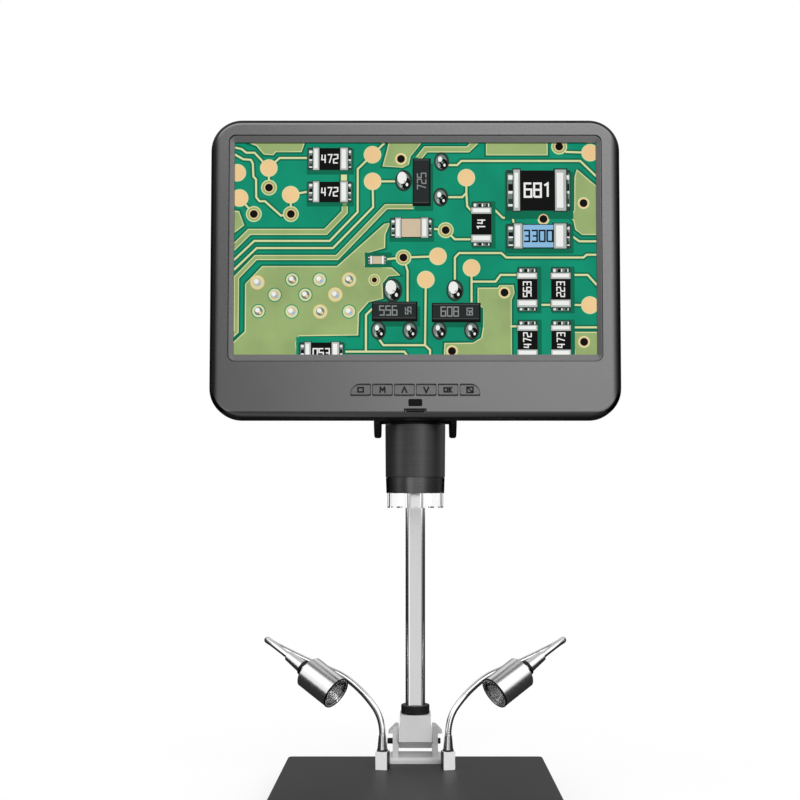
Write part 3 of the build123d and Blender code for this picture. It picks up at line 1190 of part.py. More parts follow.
# ================================================================ lamps
def lamp_clamp():
    """Square block that holds the neck on the deck, turned slightly outwards."""
    body = Box(CLAMP_SIZE, CLAMP_SIZE, CLAMP_HEIGHT)
    body = fillet(body.edges().filter_by(Axis.Z), CLAMP_EDGE)
    body = Pos(CLAMP_X, CLAMP_Y, DECK_TOP + CLAMP_HEIGHT / 2) * Rot(0, 0, CLAMP_YAW) * body
    return body - rod_z(SCREW_RADIUS + FIT, DECK_TOP - CUT_EXTRA, DECK_TOP + BRACKET_SCREW_GRIP + FIT,
                        CLAMP_X, CLAMP_Y)


def lamp_grommet():
    """Dark washer between the clamp and the ferrule."""
    low = DECK_TOP + CLAMP_HEIGHT
    return rod_z(GROMMET_RADIUS, low, low + GROMMET_HEIGHT, CLAMP_X, CLAMP_Y)


def lamp_ferrule():
    """Tapered sleeve at the neck's foot, ending in a dome."""
    low = DECK_TOP + CLAMP_HEIGHT + GROMMET_HEIGHT
    body = cone_z(FERRULE_FOOT_RADIUS, FERRULE_TIP_RADIUS, low, low + FERRULE_HEIGHT, CLAMP_X, CLAMP_Y)
    return body + Pos(CLAMP_X, CLAMP_Y, low + FERRULE_HEIGHT) * Sphere(NECK_RADIUS)


def bend_radii(points):
    """A radius for each inner point, as large as the two runs beside it allow."""
    radii = []
    for before, corner, after in zip(points, points[1:], points[2:]):
        first = corner - before
        second = after - corner
        turn = math.radians(first.get_angle(second))
        radii.append(BEND_SHARE * min(first.length, second.length) / math.tan(turn / 2))
    return radii


def neck(points):
    """A bent tube through the points with domed ends."""
    path = FilletPolyline(*points, radius=bend_radii(points))
    start = Plane(origin=path @ 0, z_dir=path % 0)
    tube = sweep(start * Circle(NECK_RADIUS), path=path)
    for end in (points[0], points[-1]):
        tube += Pos(*end) * Sphere(NECK_RADIUS)
    return tube


def raised(points):
    """Points given above the deck, in the object's own heights."""
    return [Vector(*point) + Vector(0, 0, DECK_TOP) for point in points]


def lamp_neck_lower():
    """Gooseneck from its root bend to its middle bend."""
    low = raised(NECK_LOW)
    start = ROOT_BEND + Vector(0, 0, BEND_OFFSET)
    end = MIDDLE_BEND + (low[-1] - MIDDLE_BEND).normalized() * BEND_OFFSET
    return neck([start] + low + [end])


def lamp_neck_upper():
    """Gooseneck from its middle bend round the loop to the lamp's tail."""
    high = raised(NECK_HIGH)
    start = MIDDLE_BEND + (high[0] - MIDDLE_BEND).normalized() * BEND_OFFSET
    end = LAMP_BEND - LAMP_AXIS * BEND_OFFSET
    turn = end - LAMP_AXIS * TAIL_RUN
    return neck([start] + high + [turn, end])


def on_lamp(shape):
    """Place a piece built about the lamp's middle with +Z towards the aim."""
    return Plane(origin=LAMP_CENTRE, z_dir=LAMP_AXIS).location * shape


def lamp_shell():
    """Lamp casing: round can with a closed back and a tapered tail, open in front."""
    half = LAMP_LENGTH / 2
    can = rod_z(LAMP_RADIUS, -half, half)
    can = chamfer(can.edges().sort_by(Axis.Z)[0], LAMP_EDGE)
    bore = LAMP_RADIUS - LAMP_WALL
    can -= rod_z(bore, -half + LAMP_BACK_WALL, half + CUT_EXTRA)
    tail = cone_z(TAIL_TIP_RADIUS, TAIL_FOOT_RADIUS, -half - TAIL_LENGTH, -half)
    tail += Pos(0, 0, -half - TAIL_LENGTH) * Sphere(NECK_RADIUS)
    return on_lamp(can + tail)


def lamp_reflector():
    """Bright bowl with the light source on its board behind it."""
    half = LAMP_LENGTH / 2
    rim = half - LENS_SETBACK - LAMP_LENS_THICKNESS
    throat = rim - REFLECTOR_DEPTH
    mouth = LAMP_RADIUS - LAMP_WALL - SEAT_GAP
    outer = cone_z(REFLECTOR_THROAT + REFLECTOR_WALL, mouth, throat, rim)
    inner = cone_z(REFLECTOR_THROAT, mouth - REFLECTOR_WALL, throat, rim)
    back = -half + LAMP_BACK_WALL
    board = rod_z(mouth, back, back + LED_BOARD_THICKNESS)
    slug = rod_z(REFLECTOR_THROAT + REFLECTOR_WALL, back, throat)
    chip = Pos(0, 0, throat + LED_HEIGHT / 2) * Box(LED_SIZE, LED_SIZE, LED_HEIGHT)
    return on_lamp(board + slug + chip + (outer - inner))


def lamp_lens():
    """Clear disc that closes the lamp, with its retaining rim."""
    rim = LAMP_LENGTH / 2 - LENS_SETBACK
    radius = LAMP_RADIUS - LAMP_WALL - SEAT_GAP
    disc = rod_z(radius, rim - LAMP_LENS_THICKNESS, rim)
    ring = rod_z(radius, rim, rim + LAMP_RIM) - rod_z(radius - LAMP_RIM, rim, rim + LAMP_RIM)
    return on_lamp(disc + ring)


# ================================================================ build and save
save("base_housing", base_housing())
save("base_bottom_cover", base_bottom_cover())
save("base_ballast", base_ballast())
save("base_feet", *base_feet())
save("base_screws", *base_screws())
save("power_inlet", power_inlet())
save("lamp_driver_board", lamp_driver_board())

save("column_bracket", column_bracket())
save("hinge_pin", hinge_pin())
save("hinge_block", hinge_block())
save("column_collar", column_collar())
save("column", column())
save("column_cap", column_cap())
save("column_rack", column_rack())

save("carriage_housing", carriage_housing())
save("focus_pinion", focus_pinion())
knobs = both_sides(focus_knob())
save("focus_knob_right", knobs[0])
save("focus_knob_left", knobs[1])
save("lock_knob", lock_knob())
save("support_arm", support_arm())
save("arm_screws", *arm_screws())
save("camera_head", camera_head())
save("camera_cover", camera_cover())
save("barrel_shell", barrel_shell())
save("lens_cell", lens_cell())
save("objective_lens", objective_lens())
save("sensor_board", sensor_board())
save("barrel_lens_ring", barrel_lens_ring())
save("clear_hood", clear_hood())

save("screen_hinge_pin", screen_hinge_pin())
save("monitor_bezel", monitor_bezel())
save("monitor_rear_shell", monitor_rear_shell())
save("screen_frame", screen_frame())
save("display_panel", display_panel())
save("main_board", main_board())
save("side_ports", *side_ports())
save("monitor_screws", *monitor_screws())
for index, button_name in enumerate(BUTTON_NAMES):
    save("button_" + button_name, button(index))
save("button_board", button_board())
save("ir_window", ir_window())
save("card_socket", card_socket())
save("memory_card", memory_card())

save("lamp_clamps", *both_sides(lamp_clamp()))
save("lamp_grommets", *both_sides(lamp_grommet()))
save("lamp_ferrules", *both_sides(lamp_ferrule()))
LAMP_PIECES = {
    "lamp_neck_lower": lamp_neck_lower,
    "lamp_neck_upper": lamp_neck_upper,
    "lamp_shell": lamp_shell,
    "lamp_reflector": lamp_reflector,
    "lamp_lens": lamp_lens,
}
for piece_name, build_piece in LAMP_PIECES.items():
    right, left = both_sides(build_piece())
    save(piece_name + "_right", right)
    save(piece_name + "_left", left)
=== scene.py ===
import itertools
import json
import math

import bmesh
import bpy
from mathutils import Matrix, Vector


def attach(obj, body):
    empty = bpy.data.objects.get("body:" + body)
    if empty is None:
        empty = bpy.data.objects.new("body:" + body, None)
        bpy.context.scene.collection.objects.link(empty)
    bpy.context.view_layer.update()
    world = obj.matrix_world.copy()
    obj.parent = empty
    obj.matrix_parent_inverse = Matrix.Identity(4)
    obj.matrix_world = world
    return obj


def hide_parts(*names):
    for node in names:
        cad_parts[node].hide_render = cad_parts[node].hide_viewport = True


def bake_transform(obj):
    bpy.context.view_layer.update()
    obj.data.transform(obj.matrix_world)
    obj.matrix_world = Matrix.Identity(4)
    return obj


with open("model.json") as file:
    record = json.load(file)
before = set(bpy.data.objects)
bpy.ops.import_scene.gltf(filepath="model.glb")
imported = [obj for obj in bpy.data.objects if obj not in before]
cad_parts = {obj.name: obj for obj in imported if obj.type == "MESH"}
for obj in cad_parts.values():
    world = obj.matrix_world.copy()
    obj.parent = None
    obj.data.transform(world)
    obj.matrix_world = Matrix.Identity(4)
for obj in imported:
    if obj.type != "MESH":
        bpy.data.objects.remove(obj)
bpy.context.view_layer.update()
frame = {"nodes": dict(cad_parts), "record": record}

# Desk-top digital microscope. Metres, +Z up, the screen faces -Y.
MM = 0.001

# ---------------------------------------------------------------- where the CAD puts things
ORIGIN_Y = -79.25            # the object's origin, measured from the column's axis
DECK_TOP = 15.5
SCREEN_Y = -111.2 - ORIGIN_Y
SCREEN_Z = 245.6
SCREEN_LEAN = math.radians(3.0)
WINDOW_MIDDLE = 105.0
VIEW_WIDTH = 221.5
VIEW_HEIGHT = 131.2
PANEL_FRONT = 3.5
BUTTON_PITCH = 13.25
BUTTON_Z = 17.6
BUTTON_PROUD = 0.35


def on_screen(x, depth, up):
    """A point of the leaning screen: sideways, behind its front face and above its lower edge."""
    y = SCREEN_Y + depth * math.cos(SCREEN_LEAN) + up * math.sin(SCREEN_LEAN)
    z = SCREEN_Z - depth * math.sin(SCREEN_LEAN) + up * math.cos(SCREEN_LEAN)
    return Vector((x, y, z)) * MM


def srgb(red, green=None, blue=None):
    """A display colour (0 to 255) as linear values."""
    if green is None:
        green = blue = red
    linear = []
    for value in (red, green, blue):
        share = value / 255
        linear.append(share / 12.92 if share <= 0.04045 else ((share + 0.055) / 1.055) ** 2.4)
    return tuple(linear)


# ---------------------------------------------------------------- materials
def new_material(name):
    """A node material, its nodes and its links."""
    material = bpy.data.materials.new(name)
    material.use_nodes = True
    return material, material.node_tree.nodes, material.node_tree.links


def feed(links, given, socket):
    """Give a socket another node's output, or a plain value."""
    if isinstance(given, bpy.types.NodeSocket):
        links.new(given, socket)
    else:
        socket.default_value = given


def mapped(nodes, links, value, low, high, start=0.0, end=1.0, smooth=False):
    """A value's range from low to high turned into start to end, and held beyond it."""
    node = nodes.new("ShaderNodeMapRange")
    if smooth:
        node.interpolation_type = "SMOOTHSTEP"
    for socket, number in (("From Min", low), ("From Max", high), ("To Min", start), ("To Max", end)):
        node.inputs[socket].default_value = number
    links.new(value, node.inputs["Value"])
    return node.outputs["Result"]


def computed(nodes, links, operation, first, second):
    """Two values put together by a math node."""
    node = nodes.new("ShaderNodeMath")
    node.operation = operation
    feed(links, first, node.inputs[0])
    feed(links, second, node.inputs[1])
    return node.outputs["Value"]


def mixed(nodes, links, factor, first, second, kind="MIX"):
    """Two colours mixed by a factor."""
    node = nodes.new("ShaderNodeMix")
    node.data_type = "RGBA"
    node.blend_type = kind
    for socket, given in (("Factor", factor), ("A", first), ("B", second)):
        feed(links, given, node.inputs[socket])
    return node.outputs["Result"]


def noise(nodes, links, scale, detail=3.0, stretch=(1, 1, 1)):
    """Noise in the part's own metres, optionally stretched."""
    place = nodes.new("ShaderNodeTexCoord")
    mapping = nodes.new("ShaderNodeMapping")
    mapping.inputs["Scale"].default_value = stretch
    links.new(place.outputs["Object"], mapping.inputs["Vector"])
    texture = nodes.new("ShaderNodeTexNoise")
    texture.inputs["Scale"].default_value = scale
    texture.inputs["Detail"].default_value = detail
    links.new(mapping.outputs["Vector"], texture.inputs["Vector"])
    return texture.outputs["Fac"]


def varied(nodes, links, color, vary, factor):
    """A colour that drifts a little darker and lighter with a factor."""
    ramp = nodes.new("ShaderNodeValToRGB")
    darker, lighter = ramp.color_ramp.elements
    darker.position, lighter.position = 0.3, 0.7
    darker.color = [c * (1 - vary) for c in color] + [1]
    lighter.color = [min(1, c * (1 + vary)) for c in color] + [1]
    links.new(factor, ramp.inputs["Fac"])
    return ramp.outputs["Color"]


def finish(name, color, rough, metal=0.0, vary=0.08, patch=28.0, grain=1500.0, bump=0.15,
           rough_vary=0.05, stretch=(1, 1, 1), **sockets):
    """A surface with slow colour variation, fine grain and a slightly uneven gloss."""
    material, nodes, links = new_material(name)
    shader = nodes["Principled BSDF"]
    shader.inputs["Metallic"].default_value = metal
    for socket, value in sockets.items():
        shader.inputs[socket.replace("_", " ")].default_value = value
    paint = varied(nodes, links, color, vary, noise(nodes, links, patch, 4.0, stretch))
    links.new(paint, shader.inputs["Base Color"])
    fine = noise(nodes, links, grain, 2.0, stretch)
    uneven = mapped(nodes, links, fine, 0.0, 1.0, max(0.0, rough - rough_vary), rough + rough_vary)
    links.new(uneven, shader.inputs["Roughness"])
    if bump:
        relief = nodes.new("ShaderNodeBump")
        relief.inputs["Strength"].default_value = bump
        relief.inputs["Distance"].default_value = 0.1 * MM
        links.new(fine, relief.inputs["Height"])
        links.new(relief.outputs["Normal"], shader.inputs["Normal"])
    return material


def clear(name, tint, rough, ior, body=None, density=0.0):
    """Clear plastic or glass; a body colour darkens it where one looks through much of it."""
    material = finish(name, tint, rough, vary=0.02, patch=60.0, bump=0.0, rough_vary=0.01)
    shader = material.node_tree.nodes["Principled BSDF"]
    shader.inputs["Transmission Weight"].default_value = 1.0
    shader.inputs["IOR"].default_value = ior
    if body:
        nodes, links = material.node_tree.nodes, material.node_tree.links
        absorption = nodes.new("ShaderNodeVolumeAbsorption")
        absorption.inputs["Color"].default_value = body + (1,)
        absorption.inputs["Density"].default_value = density
        links.new(absorption.outputs["Volume"], nodes["Material Output"].inputs["Volume"])
    return material


GLOW_PATCH = 45.0            # noise scale of the display's slight unevenness


def glow(name, color, vary):
    """Lit area of the display: its colour comes from behind, with a faint gloss."""
    material, nodes, links = new_material(name)
    shader = nodes["Principled BSDF"]
    shader.inputs["Base Color"].default_value = (0.0, 0.0, 0.0, 1)
    shader.inputs["Roughness"].default_value = 0.5
    shader.inputs["Specular IOR Level"].default_value = 0.06
    shader.inputs["Emission Strength"].default_value = 1.0
    lit = varied(nodes, links, color, vary, noise(nodes, links, GLOW_PATCH))
    links.new(lit, shader.inputs["Emission Color"])
    return material


TURNED = (1, 1, 60)          # stretches the grain into fine rings round an upright axis

LOOKS = {
    "base_paint": dict(color=srgb(46), rough=0.5, patch=9.0, vary=0.05, grain=2600.0, bump=0.2,
                       Specular_IOR_Level=0.18),
    "dark_sheet": dict(color=srgb(48), rough=0.55),
    "ballast_iron": dict(color=srgb(70), rough=0.7, metal=0.6, bump=0.5, grain=700.0),
    "foot_rubber": dict(color=srgb(32), rough=0.8, bump=0.4),
    "screw_steel": dict(color=srgb(190), rough=0.28, metal=1.0),
    "inlet_plastic": dict(color=srgb(30), rough=0.5),
    "board_green": dict(color=srgb(24, 96, 62), rough=0.4, patch=90.0, vary=0.18),
    "bracket_alloy": dict(color=srgb(190), rough=0.55, patch=60.0, vary=0.03, grain=2200.0, bump=0.2),
    "pin_dark": dict(color=srgb(40), rough=0.35, metal=0.8),
    "collar_black": dict(color=srgb(20), rough=0.45, grain=1200.0, Specular_IOR_Level=0.3),
    "column_chrome": dict(color=srgb(242), rough=0.09, metal=1.0, vary=0.02, rough_vary=0.03,
                          bump=0.02, stretch=(30, 30, 1)),
    "rack_steel": dict(color=srgb(170), rough=0.35, metal=1.0),
    "carriage_alloy": dict(color=srgb(34), rough=0.42, metal=0.3, grain=1900.0, bump=0.2),
    "knob_plastic": dict(color=srgb(22), rough=0.45, bump=0.2, Specular_IOR_Level=0.3),
    "pinion_steel": dict(color=srgb(175), rough=0.3, metal=1.0),
    "head_plastic": dict(color=srgb(18), rough=0.55, bump=0.3, Specular_IOR_Level=0.3),
    "barrel_alloy": dict(color=srgb(82), rough=0.3, metal=0.9, grain=900.0, bump=0.05, stretch=TURNED),
    "ring_gloss": dict(color=srgb(108), rough=0.21, metal=1.0, grain=900.0, bump=0.02, stretch=TURNED,
                       Specular_Tint=(0, 0, 0, 1)),
    "bezel_plastic": dict(color=srgb(118), rough=0.24, metal=0.85, patch=14.0, vary=0.03, grain=2400.0,
                          bump=0.12),
    "shell_plastic": dict(color=srgb(46), rough=0.55, bump=0.45, grain=1300.0,
                          Specular_IOR_Level=0.35),
    "frame_plastic": dict(color=srgb(104), rough=0.36, metal=0.85, vary=0.03),
    "display_glass": dict(color=srgb(8), rough=0.4, Specular_IOR_Level=0.1),
    "key_plastic": dict(color=srgb(112), rough=0.3, metal=0.8, vary=0.03, grain=2400.0),
    "ir_plastic": dict(color=srgb(6), rough=0.3, bump=0.02, Specular_IOR_Level=0.12),
    "card_plastic": dict(color=srgb(30), rough=0.5, Specular_IOR_Level=0.2),
    "socket_steel": dict(color=srgb(180), rough=0.3, metal=1.0),
    "clamp_nickel": dict(color=srgb(246), rough=0.3, metal=0.25, vary=0.03, grain=1800.0, bump=0.1),
    "grommet_rubber": dict(color=srgb(30), rough=0.6),
    "lamp_chrome": dict(color=srgb(228), rough=0.24, metal=1.0, vary=0.03, rough_vary=0.03, bump=0.02),
    "neck_chrome": dict(color=srgb(226), rough=0.07, metal=1.0, vary=0.03, rough_vary=0.03, bump=0.0),
    "reflector_chrome": dict(color=srgb(160), rough=0.45, metal=1.0, bump=0.05, grain=700.0),
}
MATERIALS = {name: finish(name, **look) for name, look in LOOKS.items()}
MATERIALS["lens_glass"] = clear("lens_glass", (0.86, 0.87, 0.88), 0.02, 1.5)
MATERIALS["hood_clear"] = clear("hood_clear", (1.0, 1.0, 1.0), 0.01, 1.46, (0.9, 0.9, 0.86), 12.0)


def painted_shade_towards(material, step, start, end, color):
    """Painted shade: turn a material to another, darker colour between two distances along one of the
    screen's own directions.
    """
    nodes, links = material.node_tree.nodes, material.node_tree.links
    shader = nodes["Principled BSDF"]
    paint = shader.inputs["Base Color"].links[0].from_socket
    place = nodes.new("ShaderNodeTexCoord")
    corner = on_screen(0, 0, 0)
    along = (on_screen(*step) - corner) / MM
    product = nodes.new("ShaderNodeVectorMath")
    product.operation = "DOT_PRODUCT"
    product.inputs[1].default_value = along
    links.new(place.outputs["Object"], product.inputs[0])
    base = corner.dot(along)
    share = mapped(nodes, links, product.outputs["Value"], base + start * MM, base + end * MM, smooth=True)
    links.new(mixed(nodes, links, share, paint, color + (1,)), shader.inputs["Base Color"])


SCREEN_HALF = 125.4          # half the width of the screen's case
PAINTED_SIDE_SHADE = (SCREEN_HALF - 6.4, SCREEN_HALF - 2.8, srgb(38))
# Painted shade: the bezel turns darker round its edge, where its rounded and down-facing edges fall into
# shade: direction, where that starts and ends along it, and the colour there.
PAINTED_EDGE_SHADES = [
    ((1, 0, 0), *PAINTED_SIDE_SHADE),
    ((-1, 0, 0), *PAINTED_SIDE_SHADE),
    ((0, 1, 0), 0.04, 0.34, srgb(16)),
    ((0, 1, 0), 1.6, 5.0, srgb(34)),
    ((0, 0, -1), -4.9, -4.2, srgb(66)),
]
# Paint the shade of the bezel's edges into its colour.
for shade in PAINTED_EDGE_SHADES:
    painted_shade_towards(MATERIALS["bezel_plastic"], *shade)

SLOTS = {part["node"]: part["material_slot"] for part in frame["record"]["subparts"]}
# The photograph shows these lighter or shinier than the nodes that they share a slot with.
OWN_LOOKS = {
    "hinge_block": finish("block_alloy", srgb(205), 0.55, patch=60.0, vary=0.03, grain=2200.0, bump=0.2),
    "lamp_ferrules": MATERIALS["neck_chrome"],
}
for node, item in frame["nodes"].items():
    item.data.materials.clear()
    item.data.materials.append(OWN_LOOKS.get(node, MATERIALS[SLOTS[node]]))


# ---------------------------------------------------------------- the picture on the display
# Drawn in units of a 363.5 by 212.8 grid from the view's top left corner: a magnified circuit board.
GRID_WIDTH = 363.5
GRID_HEIGHT = 212.8
LAYER_STEP = 0.012           # between two layers of the drawing
FIRST_LAYER = 0.04           # from the display's face to the lowest layer

GREEN = (14, 140, 108)
DARK_GREEN = (8, 106, 78)
OLIVE = (150, 172, 112)
CREAM = (214, 216, 160)
TAN = (236, 200, 146)
BLACK = (12, 12, 13)
WHITE = (238, 239, 236)
SILVER = (176, 182, 178)
SOLDER = (112, 128, 122)
SHADE = (40, 62, 52)
BLUE = (138, 186, 222)
BEIGE = (206, 188, 160)
CHIP = (38, 42, 42)
CHIP_EDGE = (74, 78, 76)
MARK = (136, 140, 138)


def clipped(points):
    """A polygon cut off at the edges of the view."""
    for axis, limit, sign in ((0, 0.0, 1), (0, GRID_WIDTH, -1), (1, 0.0, 1), (1, GRID_HEIGHT, -1)):
        kept = []
        for first, second in zip(points, points[1:] + points[:1]):
            a = (first[axis] - limit) * sign
            b = (second[axis] - limit) * sign
            if a >= 0:
                kept.append(first)
            if (a > 0 > b) or (a < 0 < b):
                share = a / (a - b)
                kept.append(tuple(start + (end - start) * share for start, end in zip(first, second)))
        points = kept
        if len(points) < 3:
            return []
    return points


class Picture:
    """Flat shapes sorted into one mesh per layer and colour."""

    def __init__(self):
        self.layers = {}

    def polygon(self, level, color, points):
        """A flat face, as far as it lies in the view."""
        points = clipped([tuple(p) for p in points])
        if points:
            self.layers.setdefault((level, color), []).append(points)

    def box(self, level, color, left, top, right, bottom):
        """An upright rectangle."""
        self.polygon(level, color, [(left, top), (right, top), (right, bottom), (left, bottom)])

    def disc(self, level, color, x, y, radius, squeeze=1.0, sides=28):
        """A round face, or one stretched up and down."""
        turn = 2 * math.pi / sides
        points = [(x + radius * math.cos(i * turn), y + radius * squeeze * math.sin(i * turn))
                  for i in range(sides)]
        self.polygon(level, color, points)

    def line(self, level, color, points, width):
        """A run of straight pieces with mitred corners."""
        path = [Vector(p) for p in points]
        rails = []
        for index, point in enumerate(path):
            before = (point - path[index - 1]).normalized() if index else None
            after = (path[index + 1] - point).normalized() if index + 1 < len(path) else None
            along = (before or after) + (after or before)
            along.normalize()
            side = Vector((-along.y, along.x))
            straight = before or after
            reach = width / 2 / max(0.5, abs(side.dot(Vector((-straight.y, straight.x)))))
            rails.append((point + side * reach, point - side * reach))
        for (a, b), (c, d) in zip(rails, rails[1:]):
            self.polygon(level, color, [a, c, d, b])

    def build(self):
        """Make one object per layer and colour, on the display's face."""
        for (level, color), shapes in sorted(self.layers.items()):
            mesh = bmesh.new()
            depth = PANEL_FRONT - FIRST_LAYER - level * LAYER_STEP
            for points in shapes:
                corners = []
                for u, v in points:
                    x = (u / GRID_WIDTH - 0.5) * VIEW_WIDTH
                    up = WINDOW_MIDDLE + (0.5 - v / GRID_HEIGHT) * VIEW_HEIGHT
                    corners.append(mesh.verts.new(on_screen(x, depth, up)))
                mesh.faces.new(corners)
            bmesh.ops.recalc_face_normals(mesh, faces=mesh.faces)
            bmesh.ops.triangulate(mesh, faces=mesh.faces)
            for face in mesh.faces:
                if face.normal.y > 0:
                    face.normal_flip()
            name = "picture_%02d_%02x%02x%02x" % ((level,) + color)
            finished = add_mesh(name, mesh, PICTURE_MATERIALS[color], smooth=False)
            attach(finished, "screen")


def add_mesh(name, mesh, material, smooth=True):
    """Turn a bmesh into a named object."""
    data = bpy.data.meshes.new(name)
    mesh.to_mesh(data)
    mesh.free()
    data.materials.append(material)
    for polygon in data.polygons:
        polygon.use_smooth = smooth
    item = bpy.data.objects.new(name, data)
    bpy.context.scene.collection.objects.link(item)
    return item


INKS = (GREEN, DARK_GREEN, OLIVE, CREAM, TAN, BLACK, WHITE, SILVER, SOLDER, SHADE, BLUE, BEIGE, CHIP,
        CHIP_EDGE, MARK)
PICTURE_MATERIALS = {}
for color in INKS:
    lively = 0.1 if color in (GREEN, OLIVE) else 0.05
    PICTURE_MATERIALS[color] = glow("picture_%02x%02x%02x" % color, srgb(*color), lively)

# Stroke forms on a 1 by 2 cell, y up.
STROKES = {
    "0": [[(0, 0), (1, 0), (1, 2), (0, 2), (0, 0)]],
    "1": [[(0.1, 1.7), (0.6, 2), (0.6, 0)]],
    "2": [[(0, 2), (1, 2), (1, 1.1), (0, 0.9), (0, 0), (1, 0)]],
    "3": [[(0, 2), (1, 2), (1, 0), (0, 0)], [(0.2, 1), (1, 1)]],
    "4": [[(0.1, 2), (0, 0.8), (1, 0.8)], [(0.8, 2), (0.8, 0)]],
    "5": [[(1, 2), (0, 2), (0, 1.1), (1, 1.1), (1, 0), (0, 0)]],
    "6": [[(1, 2), (0, 2), (0, 0), (1, 0), (1, 1.1), (0, 1.1)]],
    "7": [[(0, 2), (1, 2), (0.4, 0)]],
    "8": [[(0, 0), (1, 0), (1, 2), (0, 2), (0, 0)], [(0, 1.05), (1, 1.05)]],
}
picture = Picture()          # a higher layer lies in front of a lower one


def digits(level, color, text, x, y, height, weight, upright=True):
    """A generic number code centred on a point, written across or up the sheet."""
    cell = height / 2
    pitch = cell * 1.42
    start = -(len(text) - 1) * pitch / 2 - cell / 2
    for index, sign in enumerate(text):
        for stroke in STROKES[sign]:
            points = []
            for a, b in stroke:
                across = start + index * pitch + a * cell
                down = (1 - b) * cell
                points.append((x + across, y + down) if upright else (x + down, y - across))
            picture.line(level, color, points, weight)


COPPER_RADIUS = 8.0          # of the larger pads and rings
RIM = 1.0                    # pale rim round bare metal
CLEARANCE = 3.4              # what the dark gap adds to a track's width


def pad(x, y):
    """Bare round test pad with its cream rim."""
    picture.disc(3, CREAM, x, y, COPPER_RADIUS + 0.9 * RIM)
    picture.disc(4, TAN, x, y, COPPER_RADIUS)


def via(x, y, ring=COPPER_RADIUS, hole=4.0):
    """Plated hole with its ring."""
    picture.disc(3, CREAM, x, y, ring)
    picture.disc(4, OLIVE, x, y, ring - 1.1 * RIM)
    picture.disc(5, TAN, x, y, hole + RIM)
    picture.disc(6, BLACK, x, y, hole)


def trace(points, width=2.0, filled=False):
    """Copper track under the lacquer; a wide one shows olive between pale edges."""
    picture.line(1, DARK_GREEN, points, width + CLEARANCE)
    picture.line(3, CREAM, points, width)
    if filled:
        picture.line(4, OLIVE, points, width - 1.8 * RIM)


def pour(points):
    """Copper area: dark clearance, pale edge and olive field."""
    closed = points + points[:1]
    picture.line(1, DARK_GREEN, closed, 5.0)
    picture.polygon(2, OLIVE, points)
    picture.line(2, CREAM, closed, 1.1)


def resistor(left, top, right, bottom, code, body=BLACK, ink=WHITE, upright=True, height=None,
             shares=(0.0, 0.12, 0.26, 0.73, 0.9, 1.0)):
    """Chip resistor or capacitor: solder, metal caps, body and its number code."""
    across = (bottom - top) if upright else (right - left)
    length = (right - left) if upright else (bottom - top)
    shift, drop = (left, top) if upright else (top, left)

    def part(level, color, start, low, stop, high):
        """A patch by its shares of the length and of the width."""
        a, b = shift + start * length, shift + stop * length
        c, d = drop + low * across, drop + high * across
        corners = (a, c, b, d) if upright else (c, a, d, b)
        picture.box(level, color, *corners)

    part(4, DARK_GREEN, -0.02, 0.08, 1.04, 1.16)
    for near, far in ((shares[0], shares[1]), (shares[5], shares[4])):
        reach = far - near
        part(5, SHADE, near, 0.04, far + reach * 0.3, 0.97)
        part(6, SOLDER, near + reach * 0.18, 0.12, far, 0.88)
        for place, size, color in ((0.16, 0.1, WHITE), (0.36, 0.16, BLACK), (0.52, 0.06, WHITE),
                                   (0.7, 0.12, SHADE), (0.82, 0.05, WHITE)):
            part(7, color, near + reach * 0.3, place, far - reach * 0.1, place + size)
    for start, stop in ((shares[1], shares[2]), (shares[3], shares[4])):
        edge = (stop - start) * 0.16
        part(7, SHADE, start - edge, 0.0, stop + edge, 1.0)
        part(8, SILVER, start, 0.03, stop, 0.97)
        part(9, WHITE, start + edge, 0.1, stop - edge * 1.6, 0.9)
    part(8, BLACK, shares[2], 0.05, shares[3], 0.97)
    part(9, body, shares[2] + 0.01, 0.08, shares[3] - 0.01, 0.93)
    middle = shift + (shares[2] + shares[3]) / 2 * length
    centre = drop + across / 2
    x, y = (middle, centre) if upright else (centre, middle)
    size = height or across * 0.42
    digits(10, ink, code, x, y, size, max(1.0, size * 0.15), upright)


def lead(x, y, radius, bright):
    """Solder blob at a transistor's leg."""
    picture.disc(5, SHADE, x, y, radius + 0.8, 1.25, 18)
    picture.disc(6, SOLDER, x - radius * 0.05, y, radius * 0.82, 1.25, 16)
    picture.disc(7, BLACK, x + radius * 0.25, y + radius * 0.32, radius * 0.62, 1.2, 14)
    picture.disc(7, SILVER, x - radius * 0.32, y + radius * 0.55, radius * 0.2, 1.6, 10)
    picture.disc(8, WHITE, x - radius * 0.2, y - radius * 0.36, radius * (0.6 if bright else 0.3), 1.3, 12)
    picture.disc(8, WHITE, x + radius * 0.42, y + radius * 0.5, radius * 0.17, 1.3, 8)
    picture.disc(8, SOLDER, x + radius * 0.12, y + radius * 0.1, radius * 0.16, 1.2, 8)


def transistor(left, top, right, bottom, legs, code, upright=True):
    """Three-legged chip with shiny solder at its legs."""
    for x, y, radius, bright in legs:
        lead(x, y, radius, bright)
    picture.box(4, DARK_GREEN, left + 2.5, top + 5.0, right + 2.5, bottom + 5.0)
    picture.box(9, BLACK, left, top, right, bottom)
    picture.box(10, CHIP, left + 1.0, top + 1.0, right - 1.6, bottom - 3.4)
    picture.box(11, CHIP_EDGE, left + 1.0, top + 1.0, right - 1.6, top + 1.9)
    picture.box(11, CHIP_EDGE, left + 1.0, bottom - 3.9, right - 1.6, bottom - 3.2)
    x, y = (left + right) / 2, (top + bottom) / 2 - 1
    if upright:
        digits(11, MARK, code, x - 6.5, y, 9.0, 1.2)
        digits(11, MARK, code[:2], x + 13.5, y, 5.5, 1.0, False)
    else:
        digits(11, MARK, code, x, y, 8.5, 1.1, False)


picture.box(0, GREEN, 0, 0, GRID_WIDTH, GRID_HEIGHT)

